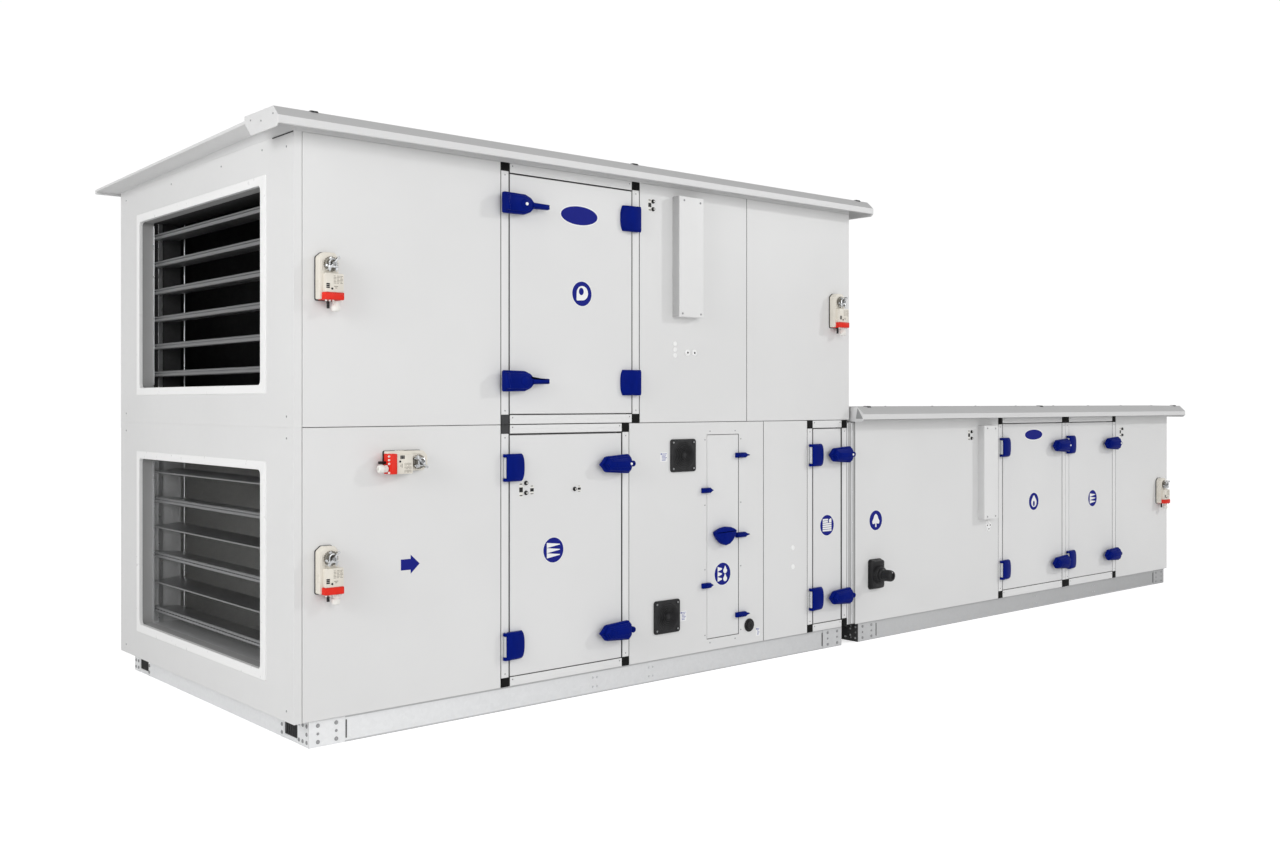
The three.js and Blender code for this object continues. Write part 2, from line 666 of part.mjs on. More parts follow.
// impeller about the X axis: eye towards +x, shaft towards -x, origin in the middle of its width
const impeller = () => {
  const rear = -FAN_HALF;
  const eye = FAN_HALF;
  const backPlate = turnedX([
    [rear, 0], [rear, FAN_R], [rear + 4, FAN_R], [rear + 4, 60], [rear + 30, 45], [rear + 30, 0],
  ]);
  const shaft = rodX(0, 0, 19, rear - 60, rear + 5);
  const shroud = turnedX([
    [eye - 30, FAN_R], [eye - 26, FAN_R], [eye + 4, 190], [eye + 4, 186], [eye, 186],
  ]);
  // trims the blades to run from the back plate into the shroud cone
  const envelope = turnedX([
    [rear + 2, 0], [rear + 2, FAN_R - 1], [eye - 28, FAN_R - 1],
    [eye - 1, 190], [eye - 12, 186], [eye - 12, 0],
  ]);
  const single = fanBlade();
  const blades = Array.from({ length: FAN_BLADES }, (_, i) =>
    single.rotate([(360 / FAN_BLADES) * i, 0, 0]),
  );
  return join(backPlate, shaft, shroud, join(...blades).intersect(envelope));
};
// motor on its pedestal, and the bulkhead with the inlet nozzle, joined by base rails;
// X as for the impeller, Y and Z as for the casing
const fanFrame = (deckBottom) => {
  const rear = -FAN_HALF;
  const eye = FAN_HALF;
  const z = deckBottom + FAN_Z;
  const floor = deckBottom + WALL;
  const bulkhead = cut(
    box(eye + 34, eye + 44, FAN_Y - 700, FAN_Y + 700, floor, floor + 960),
    turnedX([[eye + 20, 0], [eye + 20, 185], [eye + 60, 185], [eye + 60, 0]], FAN_Y, z),
  );
  const nozzleProfile = [
    [eye - 6, 172], [eye - 6, 168], [eye + 20, 176],
    [eye + 46, 210], [eye + 38, 216], [eye + 16, 182],
  ];
  const motor = cut(
    join(
      rodX(FAN_Y, z, 105, rear - 320, rear - 12, 20),
      rodX(FAN_Y, z, 70, rear - 345, rear - 315, 16),
    ),
    rodX(FAN_Y, z, 21, rear - 75, rear),
  );
  return join(
    bulkhead,
    turnedX(nozzleProfile, FAN_Y, z),
    motor,
    box(rear - 290, rear - 50, FAN_Y - 90, FAN_Y + 90, floor + 20, z - 60), // pedestal
    box(rear - 360, eye + 44, FAN_Y - 300, FAN_Y - 240, floor, floor + 40), // front rail
    box(rear - 360, eye + 44, FAN_Y + 240, FAN_Y + 300, floor, floor + 40), // back rail
    box(rear - 360, rear - 20, FAN_Y - 300, FAN_Y + 300, floor + 10, floor + 38), // motor base
  );
};
const putFan = (parent, name, x, deckBottom, face) => {
  put(parent, `${name}_fan_frame`, face(fanFrame(deckBottom)), "galvanised", [x, 0, 0]);
  const centre = [x, FAN_Y, deckBottom + FAN_Z];
  put(parent, `${name}_impeller`, face(impeller()), "aluminium", centre);
};
const faceRight = (solid) => solid;
const faceLeft = (solid) => solid.mirror([1, 0, 0]);
putFan(twoDeck, "extract", 1480, DECK, faceRight);
putFan(singleDeck, "supply", 4680, 0, faceLeft);

// ---------------------------------------------------------------- filter and coil
// header plate with a row of bags that taper towards +x
const bagFilter = () => {
  const bags = Array.from({ length: 11 }, (_, i) => {
    const y = 75 + 154 * i;
    return prismZ([[1030, y], [1030, y + 130], [1480, y + 76], [1480, y + 54]], 62, 1015);
  });
  return join(box(1010, 1035, 60, 1776, WALL, 1030), ...bags);
};
put(twoDeck, "bag_filter", bagFilter(), "media");

// block recessed on its left and right faces, with two upright headers in front of it
const coolingCoil = () => {
  const left = 1770;
  const right = 1990;
  const recess = (from, to) => box(from, to, 150, 1730, 90, 980);
  const block = cut(
    box(left, right, 110, 1770, WALL, 1025),
    recess(left - 10, left + 15),
    recess(right - 15, right + 10),
  );
  const headers = [1924, 1823].flatMap((x) => [
    rodZ(x, 76, 22, 120, 960),
    box(x - 11, x + 11, 80, 115, 480, 600), // web back to the block
  ]);
  return join(block, ...headers);
};
put(twoDeck, "cooling_coil", coolingCoil(), "copper");

export default group;
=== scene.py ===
"""Outdoor air handling unit: finishes, fine parts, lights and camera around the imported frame.

A two-deck section stands at low X, a single-deck section at high X, both on zinc base frames.
Everything is drawn in casing millimetres: X along the unit, Y from the service face to the
rear, Z up from the casing underside. Part.make places it at the casing corner of the frame.
"""

import math
from collections import namedtuple

import bmesh
import bpy
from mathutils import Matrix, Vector

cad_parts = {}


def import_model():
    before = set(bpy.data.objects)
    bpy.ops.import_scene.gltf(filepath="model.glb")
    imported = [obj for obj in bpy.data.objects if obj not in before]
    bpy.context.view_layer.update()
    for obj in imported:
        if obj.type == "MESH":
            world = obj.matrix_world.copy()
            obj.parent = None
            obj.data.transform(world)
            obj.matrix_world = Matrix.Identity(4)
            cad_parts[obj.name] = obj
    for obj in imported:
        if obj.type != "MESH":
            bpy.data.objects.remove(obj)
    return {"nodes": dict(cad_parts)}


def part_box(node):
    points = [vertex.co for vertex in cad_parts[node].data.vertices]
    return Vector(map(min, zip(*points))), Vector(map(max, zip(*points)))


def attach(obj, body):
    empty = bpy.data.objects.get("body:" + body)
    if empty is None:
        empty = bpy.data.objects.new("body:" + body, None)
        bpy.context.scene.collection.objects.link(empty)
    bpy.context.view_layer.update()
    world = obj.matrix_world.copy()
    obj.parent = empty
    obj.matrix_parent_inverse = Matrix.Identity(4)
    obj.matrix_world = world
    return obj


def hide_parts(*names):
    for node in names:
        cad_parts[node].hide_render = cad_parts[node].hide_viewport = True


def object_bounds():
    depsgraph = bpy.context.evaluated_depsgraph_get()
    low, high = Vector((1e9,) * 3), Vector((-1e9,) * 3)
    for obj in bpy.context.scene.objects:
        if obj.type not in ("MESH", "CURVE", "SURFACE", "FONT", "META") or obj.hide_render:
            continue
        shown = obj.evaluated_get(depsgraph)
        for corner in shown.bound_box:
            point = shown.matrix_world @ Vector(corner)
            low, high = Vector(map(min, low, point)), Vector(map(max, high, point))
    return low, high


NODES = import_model()["nodes"]
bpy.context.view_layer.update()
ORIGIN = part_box("lower_deck_shell")[0]

# ------------------------------------------------------------------ driving sizes (mm)
DECK = 1080  # height of one deck
LEN_A = 3117  # length of the two-deck section
B0, B1 = 3167, 6591  # ends of the single-deck section
DEPTH = 1830
HATCH = (2081, 2291, 57, 1018)  # x0, x1, z0, z1
PANEL_BACK = 45  # depth of the front panels, posts and caps
PANEL_EDGE = 1.6  # rolled edge of a panel
COVER_FRONT = -45  # front face of the cable covers

LOUVRE_Y = (280, 1580)
LOUVRE_H = 760
INTAKE_Z0 = 157
EXHAUST_Z0 = INTAKE_Z0 + DECK
BLADE_X = 125


def blade_z(z0, i):
    return z0 + 65 + 126 * i


# damper shafts on the service face: x, z
SHAFTS = {
    "exhaust": (BLADE_X, blade_z(EXHAUST_Z0, 3)),
    "intake": (BLADE_X, blade_z(INTAKE_Z0, 3)),
    "recirculation": (495, 943),
    "return": (3000, 1690),
    "supply": (6470, 600),
}

# side is +1 with the hinge on the low X edge, -1 on the high X edge; opening is x0, x1, z0, z1;
# badge is x, z and the two half sizes; lever_shift moves the levers along X from their bosses
Door = namedtuple("Door", "name side opening hinge_z handle_z sign sign_at badge lever_shift")
HINGE_Z, HANDLE_Z, UPPER_Z = (169, 903), (165, 901), (1260, 1990)
DOORS = (
    Door("upper_fan", -1, (953, 1614, 1124, 2115), UPPER_Z, UPPER_Z,
         "extract", (1330, 1641), (1316, 1977, 100, 40), -4),
    Door("filter", 1, (953, 1553, 41, 1036), HINGE_Z, HANDLE_Z, "filter", (1176, 546), None, 4),
    Door("heater", 1, (2835, 3050, 41, 1036), HINGE_Z, HANDLE_Z, "coil", (2940, 538), None, 26),
    Door("supply_fan", 1, (4545, 5206, 47, 1042), HINGE_Z, HANDLE_Z,
         "supply", (4880, 561), (4879, 973, 97, 31), 2),
    Door("fine_filter", 1, (5291, 5833, 47, 1042), HINGE_Z, HANDLE_Z,
         "filter", (5578, 546), None, 8),
)

PANEL, STEEL, RUBBER, BLACK = "casing_panel", "galvanised_steel", "black_rubber", "black_plastic"
WHITE, BLUE, FIBRE = "white_trim", "blue_plastic", "filter_media"
HOUSING, COIL = "actuator_plastic", "coil_aluminium"


# ------------------------------------------------------------------ outlines
def arc(x, z, radius, start, end, steps):
    angles = [math.radians(start + (end - start) * k / steps) for k in range(steps + 1)]
    return [(x + radius * math.cos(a), z + radius * math.sin(a)) for a in angles]


def round_rect(x0, x1, z0, z1, radius, steps=4):
    corners = (
        (x1 - radius, z0 + radius, -90),
        (x1 - radius, z1 - radius, 0),
        (x0 + radius, z1 - radius, 90),
        (x0 + radius, z0 + radius, 180),
    )
    return [q for x, z, start in corners for q in arc(x, z, radius, start, start + 90, steps)]


def rect(x0, x1, z0, z1):
    return [(x0, z0), (x1, z0), (x1, z1), (x0, z1)]


def disc(x, z, radius, steps, half_height=None):
    """Circle, or an ellipse where half_height is given."""
    half_height = radius if half_height is None else half_height
    angles = [2 * math.pi * k / steps for k in range(steps)]
    return [(x + radius * math.cos(a), z + half_height * math.sin(a)) for a in angles]


def offset(points, x, z):
    return [(x + a, z + b) for a, b in points]


def rounded(points, radii, steps=4):
    """Polygon with its corners eased by curves; radii is one number or one for each corner."""
    out = []
    count = len(points)
    for i in range(count):
        radius = radii if isinstance(radii, (int, float)) else radii[i]
        corner = Vector(points[i])
        if radius <= 0:
            out.append((corner.x, corner.y))
            continue
        back = Vector(points[i - 1]) - corner
        ahead = Vector(points[(i + 1) % count]) - corner
        room = min(back.length * 0.49, ahead.length * 0.49)
        back.normalize()
        ahead.normalize()
        reach = min(radius / math.tan(back.angle(ahead) / 2), room)
        start, end = corner + back * reach, corner + ahead * reach
        for k in range(steps + 1):
            t = k / steps
            q = start * (1 - t) ** 2 + corner * 2 * t * (1 - t) + end * t**2
            out.append((q.x, q.y))
    return out


def inset(points, distance):
    """Polygon with its sides moved inwards; the reach of sharp corners is limited."""
    if distance == 0:
        return list(points)
    count = len(points)
    area = sum(
        points[i][0] * points[(i + 1) % count][1] - points[(i + 1) % count][0] * points[i][1]
        for i in range(count)
    )
    turn = 1 if area > 0 else -1
    out = []
    for i in range(count):
        (x0, z0), (x1, z1), (x2, z2) = points[i - 1], points[i], points[(i + 1) % count]
        before = math.hypot(x1 - x0, z1 - z0) or 1e-9
        after = math.hypot(x2 - x1, z2 - z1) or 1e-9
        mitre_x = (-(z1 - z0) / before - (z2 - z1) / after) * turn
        mitre_z = ((x1 - x0) / before + (x2 - x1) / after) * turn
        square = max(mitre_x * mitre_x + mitre_z * mitre_z, 0.9)
        out.append((x1 + 2 * mitre_x * distance / square, z1 + 2 * mitre_z * distance / square))
    return out


# ------------------------------------------------------------------ mesh builder
def on_axis(axis, along, a, b):
    return {"x": (along, a, b), "y": (a, along, b), "z": (a, b, along)}[axis]


class Part:
    """Gathers closed shells in casing millimetres and makes one object of them."""

    def __init__(self, move=None):
        self.points, self.faces = [], []
        self.move = move

    def mesh(self, points, faces):
        first = len(self.points)
        if self.move:
            points = [self.move(*q) for q in points]
        self.points += points
        self.faces += [tuple(first + i for i in face) for face in faces]

    def rings(self, rings, loop=False):
        """Skin over equal rings, closed by end caps or, with loop, back on to the first ring."""
        n, count = len(rings[0]), len(rings)
        faces = []
        for a in range(count if loop else count - 1):
            b = (a + 1) % count
            for i in range(n):
                j = (i + 1) % n
                faces.append((a * n + i, b * n + i, b * n + j, a * n + j))
        if not loop:
            faces.append(tuple(range(n)))
            faces.append(tuple((count - 1) * n + i for i in reversed(range(n))))
        self.mesh([q for ring in rings for q in ring], faces)

    def layers(self, outline, levels):
        """Solid of an XZ outline; levels are (y, inset) from front to back."""
        self.rings([[(x, y, z) for x, z in inset(outline, d)] for y, d in levels])

    def slab(self, outline, y0, y1, front=0.0, back=0.0):
        """Prism along Y, its low Y edge rounded by front and its high Y edge cut by back."""
        levels = [(y0, 0.0)]
        if front > 0:
            angles = [math.pi / 2 * k / 3 for k in range(3)]
            levels = [
                (y0 + front * (1 - math.cos(a)), front * (1 - math.sin(a))) for a in angles
            ]
            levels.append((y0 + front, 0.0))
        levels += [(y1 - back, 0.0), (y1, back)] if back > 0 else [(y1, 0.0)]
        self.layers(outline, levels)

    def prism(self, axis, outline, start, end, ease=0.0):
        levels = [(start, 0), (end, 0)]
        if ease > 0:
            levels = [(start, ease), (start + ease, 0), (end - ease, 0), (end, ease)]
        self.rings([[on_axis(axis, t, *q) for q in inset(outline, d)] for t, d in levels])

    def box(self, x0, x1, y0, y1, z0, z1, ease):
        self.prism("y", rect(x0, x1, z0, z1), y0, y1, ease)

    def turn(self, axis, centre, profile, steps, loop=False, phase=0.0):
        """Turned solid; profile is (place along the axis, radius)."""
        angles = [2 * math.pi * k / steps + phase for k in range(steps)]
        rings = [
            [
                on_axis(axis, t, centre[0] + r * math.cos(a), centre[1] + r * math.sin(a))
                for a in angles
            ]
            for t, r in profile
        ]
        self.rings(rings, loop=loop)

    def rod(self, axis, centre, radius, start, end, steps, ease=0.0):
        profile = [(start, radius), (end, radius)]
        if ease > 0:
            profile = [
                (start, radius - ease), (start + ease, radius),
                (end - ease, radius), (end, radius - ease),
            ]
        self.turn(axis, centre, profile, steps)

    def plate(self, x0, x1, z0, z1, y0, y1, holes, edge):
        """Plate with rectangular holes on one grid; its outer front edge is chamfered."""
        xs = sorted({x0, x1, *[h[0] for h in holes], *[h[1] for h in holes]})
        zs = sorted({z0, z1, *[h[2] for h in holes], *[h[3] for h in holes]})

        def full(i, j):
            if not (0 <= i < len(xs) - 1 and 0 <= j < len(zs) - 1):
                return False
            x, z = (xs[i] + xs[i + 1]) / 2, (zs[j] + zs[j + 1]) / 2
            return not any(h[0] < x < h[1] and h[2] < z < h[3] for h in holes)

        points, index, faces = [], {}, []

        def vert(i, j, layer):
            key = (i, j, layer)
            if key not in index:
                x, z = xs[i], zs[j]
                if layer == 0:
                    x += edge if i == 0 else -edge if i == len(xs) - 1 else 0
                    z += edge if j == 0 else -edge if j == len(zs) - 1 else 0
                index[key] = len(points)
                points.append((x, (y0, y0 + edge, y1)[layer], z))
            return index[key]

        for i in range(len(xs) - 1):
            for j in range(len(zs) - 1):
                if not full(i, j):
                    continue
                ring = [(i, j), (i + 1, j), (i + 1, j + 1), (i, j + 1)]
                faces.append([vert(*q, 0) for q in ring])
                faces.append([vert(*q, 2) for q in reversed(ring)])
                for di, dj, a, b in (
                    (-1, 0, ring[3], ring[0]),
                    (1, 0, ring[1], ring[2]),
                    (0, -1, ring[0], ring[1]),
                    (0, 1, ring[2], ring[3]),
                ):
                    if full(i + di, j + dj):
                        continue
                    for u, v in ((0, 1), (1, 2)):
                        faces.append([vert(*a, u), vert(*a, v), vert(*b, v), vert(*b, u)])
        self.mesh(points, faces)

    def screw(self, axis, centre, face, radius, height):
        """Pan head with a socket, facing down the axis."""
        # rise and radius as shares of the height and the radius
        shares = ((0.35, 1), (0.8, 0.86), (1, 0.6), (1, 0.42), (0.35, 0.36))
        profile = [(face - height * rise, radius * size) for rise, size in shares]
        self.turn(axis, centre, [(face + 0.5, radius)] + profile, 10)

    def bolt(self, axis, centre, face, side, radius, height):
        """Hexagon head on a washer; side is the direction it faces along the axis."""
        washer = ((-0.5, 1.35), (1.0, 1.35), (1.5, 1.25))
        self.turn(axis, centre, [(face + t * side, radius * k) for t, k in washer], 16)
        head = ((0, 1), (height - 1, 1), (height, 0.82))
        self.turn(axis, centre, [(face + t * side, radius * k) for t, k in head], 6, phase=0.4)

    def make(self, name, slot, finish, body="casing", replaces=(), angle=32):
        mesh = bpy.data.meshes.new(name)
        points = [
            (ORIGIN.x + x / 1000, ORIGIN.y + y / 1000, ORIGIN.z + z / 1000)
            for x, y, z in self.points
        ]
        mesh.from_pydata(points, [], self.faces)
        mesh.materials.append(FINISH[finish])
        bm = bmesh.new()
        bm.from_mesh(mesh)
        bmesh.ops.recalc_face_normals(bm, faces=bm.faces)
        bm.to_mesh(mesh)
        bm.free()
        mesh.shade_smooth()
        mesh.set_sharp_from_angle(angle=math.radians(angle))
        obj = bpy.data.objects.new(name, mesh)
        bpy.context.scene.collection.objects.link(obj)
        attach(obj, body)
        if replaces:
            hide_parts(*replaces)
        return obj


def tube(part, path, radius, steps):
    """Round tube along a path of (x, y, z)."""
    rings = []
    for i, place in enumerate(path):
        along = Vector(path[min(len(path) - 1, i + 1)]) - Vector(path[max(0, i - 1)])
        along.normalize()
        up = Vector((0, 1, 0)) if abs(along.y) < 0.9 else Vector((0, 0, 1))
        side = along.cross(up).normalized()
        over = side.cross(along)
        angles = [2 * math.pi * k / steps for k in range(steps)]
        rings.append([
            tuple(Vector(place) + side * radius * math.cos(a) + over * radius * math.sin(a))
            for a in angles
        ])
    part.rings(rings)


# ------------------------------------------------------------------ materials
class Shader:
    """Principled material whose textures run in object coordinates (metres)."""

    def __init__(self, name):
        self.material = bpy.data.materials.new(name)
        self.material.use_nodes = True
        self.tree = self.material.node_tree
        self.tree.nodes.clear()
        output = self.node("OutputMaterial")
        self.surface = self.node("BsdfPrincipled")
        self.feed(output, 0, self.surface.outputs[0])
        self.coords = self.node("TexCoord").outputs["Object"]
        self.normal = None

    def node(self, kind, inputs=(), **properties):
        node = self.tree.nodes.new("ShaderNode" + kind)
        for key, value in properties.items():
            setattr(node, key, value)
        for key, value in dict(inputs).items():
            self.feed(node, key, value)
        return node

    def feed(self, node, key, value):
        """Links an output socket to the input, or sets the input to a plain value."""
        if isinstance(value, bpy.types.NodeSocket):
            self.tree.links.new(value, node.inputs[key])
        else:
            node.inputs[key].default_value = value

    def mapped(self, stretch=(1, 1, 1), at=(0, 0, 0)):
        inputs = {"Scale": stretch, "Location": at, "Vector": self.coords}
        return self.node("Mapping", inputs).outputs[0]

    def noise(self, scale, detail=2.0, rough=0.5, stretch=(1, 1, 1), at=(0, 0, 0)):
        inputs = {"Scale": scale, "Detail": detail, "Roughness": rough}
        inputs["Vector"] = self.mapped(stretch, at)
        return self.node("TexNoise", inputs).outputs["Fac"]

    def cells(self, scale, output):
        inputs = {"Scale": scale, "Vector": self.mapped()}
        return self.node("TexVoronoi", inputs, feature="F1").outputs[output]

    def spangle(self):
        """Two random values for each zinc crystal."""
        split = self.node("SeparateColor", {0: self.cells(scale=70, output="Color")})
        return split.outputs[0], split.outputs[1]

    def ramp(self, value, low, high, start=0.3, end=0.7):
        """Maps start..end on to low..high."""
        inputs = {"From Min": start, "From Max": end, "To Min": low, "To Max": high}
        inputs["Value"] = value
        return self.node("MapRange", inputs).outputs[0]

    def blend(self, factor, first, second):
        inputs = {0: factor}
        for key, colour in ((6, first), (7, second)):
            inputs[key] = (*colour, 1) if isinstance(colour, tuple) else colour
        return self.node("Mix", inputs, data_type="RGBA").outputs[2]

    def tones(self, texture, colour, low, high):
        """The colour drifting between two brightnesses with the texture."""
        return self.blend(self.ramp(texture, 0, 1), shade(colour, low), shade(colour, high))

    def look(self, colour, rough, metal=0.0):
        self.feed(self.surface, "Base Color", colour)
        self.feed(self.surface, "Roughness", rough)
        self.feed(self.surface, "Metallic", metal)

    def bump(self, height, strength, distance):
        inputs = {"Strength": strength, "Distance": distance, "Height": height}
        if self.normal is not None:
            inputs["Normal"] = self.normal
        self.normal = self.node("Bump", inputs).outputs[0]
        self.feed(self.surface, "Normal", self.normal)


def shade(colour, factor):
    return tuple(min(1.0, x * factor) for x in colour)


def grey(tone):
    return (tone, tone, tone)


def paint(name, colour, rough=0.36, vary=0.03):
    """Powder-coated sheet: faint orange peel, slow drift of tone, a trace of dust in the gloss."""
    shader = Shader(name)
    drift = shader.noise(scale=0.9, detail=3.0, rough=0.55)
    dust = shader.noise(scale=35, at=(3, 1, 2))
    shader.look(
        shader.tones(drift, colour, 1 - vary, 1 + vary),
        shader.ramp(dust, rough - 0.05, rough + 0.07),
    )
    shader.bump(shader.noise(scale=420), strength=0.10, distance=0.0004)
    waves = shader.noise(scale=2.2, detail=1.0, rough=0.4, at=(5, 5, 5))
    shader.bump(waves, strength=0.10, distance=0.004)
    return shader.material


def galvanised(name, colour, rough, spangle, metal):
    """Zinc sheet: crystal spangle in tone and gloss, fine rolling marks."""
    shader = Shader(name)
    tone, gloss = shader.spangle()
    drift = shader.noise(scale=3.5, detail=3.0, rough=0.6)
    low, high = shade(colour, 1 - 0.05 * spangle), shade(colour, 1 + 0.04 * spangle)
    crystals = shader.blend(shader.ramp(tone, 0, 1, start=0, end=1), low, high)
    shader.look(
        shader.blend(shader.ramp(drift, 0.0, 0.35), crystals, shade(colour, 0.90)),
        shader.ramp(gloss, rough - 0.03, rough + 0.05, start=0, end=1),
        metal,
    )
    rolling = shader.noise(scale=260, detail=3.0, rough=0.6)
    shader.bump(rolling, strength=0.12, distance=0.0003)
    return shader.material


def zinc_painted_falloff(name, colour, x_range, painted_falloff):
    """Zinc sheet whose tone changes along its length over x_range in metres: a painted fall-off of
    light, lighter at one end and darker at the other.
    """
    shader = Shader(name)
    tone, gloss = shader.spangle()
    place = shader.node("SeparateXYZ", {0: shader.coords}).outputs["X"]
    painted_falloff_mask = shader.ramp(place, 0, 1, *x_range)
    base = shader.blend(painted_falloff_mask, *[shade(colour, k) for k in painted_falloff])
    shader.look(
        shader.blend(shader.ramp(tone, 0, 0.06, start=0, end=1), base, (0.30, 0.30, 0.31)),
        shader.ramp(gloss, 0.55 - 0.03, 0.55 + 0.05, start=0, end=1),
        metal=0.30,
    )
    rolling = shader.noise(scale=260, detail=3.0, rough=0.6)
    shader.bump(rolling, strength=0.10, distance=0.0003)
    return shader.material


def brushed(name, colour, along, rough=0.34, metal=0.95):
    """Rolled or extruded metal with fine lines along one axis."""
    stretch = {"x": (2, 160, 160), "y": (160, 2, 160), "z": (160, 160, 2)}[along]
    shader = Shader(name)
    lines = shader.noise(scale=6, detail=3.0, rough=0.6, stretch=stretch)
    drift = shader.noise(scale=5, at=(2, 7, 1))
    shader.look(
        shader.tones(lines, colour, 0.88, 1.06),
        shader.ramp(drift, rough - 0.06, rough + 0.10),
        metal,
    )
    shader.bump(lines, strength=0.15, distance=0.0004)
    return shader.material


def plastic(name, colour, rough, grain, vary, scale=700, gloss=0.5):
    """Moulded plastic: spark-eroded grain of the given scale, slight flow marks, rubbed gloss."""
    shader = Shader(name)
    shader.feed(shader.surface, "Specular IOR Level", gloss)
    flow = shader.noise(scale=26, detail=3.0, rough=0.6, stretch=(1, 1, 0.4))
    shader.look(
        shader.tones(flow, colour, 1 - vary, 1 + vary),
        shader.ramp(shader.noise(scale=60, at=(1, 4, 2)), rough - 0.05, rough + 0.09),
    )
    shader.bump(shader.noise(scale=scale, rough=0.6), strength=grain, distance=0.0004)
    return shader.material


def rubber(name, colour, rough):
    shader = Shader(name)
    shader.feed(shader.surface, "Specular IOR Level", 0.25)
    shader.look(
        shader.tones(shader.noise(scale=40, detail=3.0, rough=0.6), colour, 0.8, 1.35),
        shader.ramp(shader.noise(scale=80), rough - 0.07, rough + 0.08),
    )
    shader.bump(shader.noise(scale=900, rough=0.6), strength=0.18, distance=0.0004)
    return shader.material


def fibre(name, colour):
    """Needled synthetic filter fibre."""
    shader = Shader(name)
    needles = shader.noise(scale=210, detail=4.0, rough=0.7)
    drift = shader.noise(scale=30, detail=3.0, rough=0.6, at=(2, 2, 9))
    shader.look(shader.tones(drift, colour, 0.9, 1.04), rough=0.92)
    shader.bump(needles, strength=0.5, distance=0.0015)
    shader.bump(shader.cells(scale=160, output="Distance"), strength=0.25, distance=0.0008)
    return shader.material


def fins(name, colour):
    """Finned coil block: painted shade in the gaps between bright fin edges, repeated along Y."""
    shader = Shader(name)
    inputs = {"Scale": 1.0, "Distortion": 0.0, "Vector": shader.mapped(stretch=(0, 12.56, 0))}
    wave = shader.node("TexWave", inputs, wave_type="BANDS", bands_direction="Y").outputs["Fac"]
    gap_shade_mask = shader.ramp(wave, 0, 1, start=0.2, end=0.8)
    shader.look(shader.blend(gap_shade_mask, shade(colour, 0.30), colour), rough=0.4, metal=0.8)
    shader.bump(wave, strength=0.5, distance=0.0012)
    return shader.material


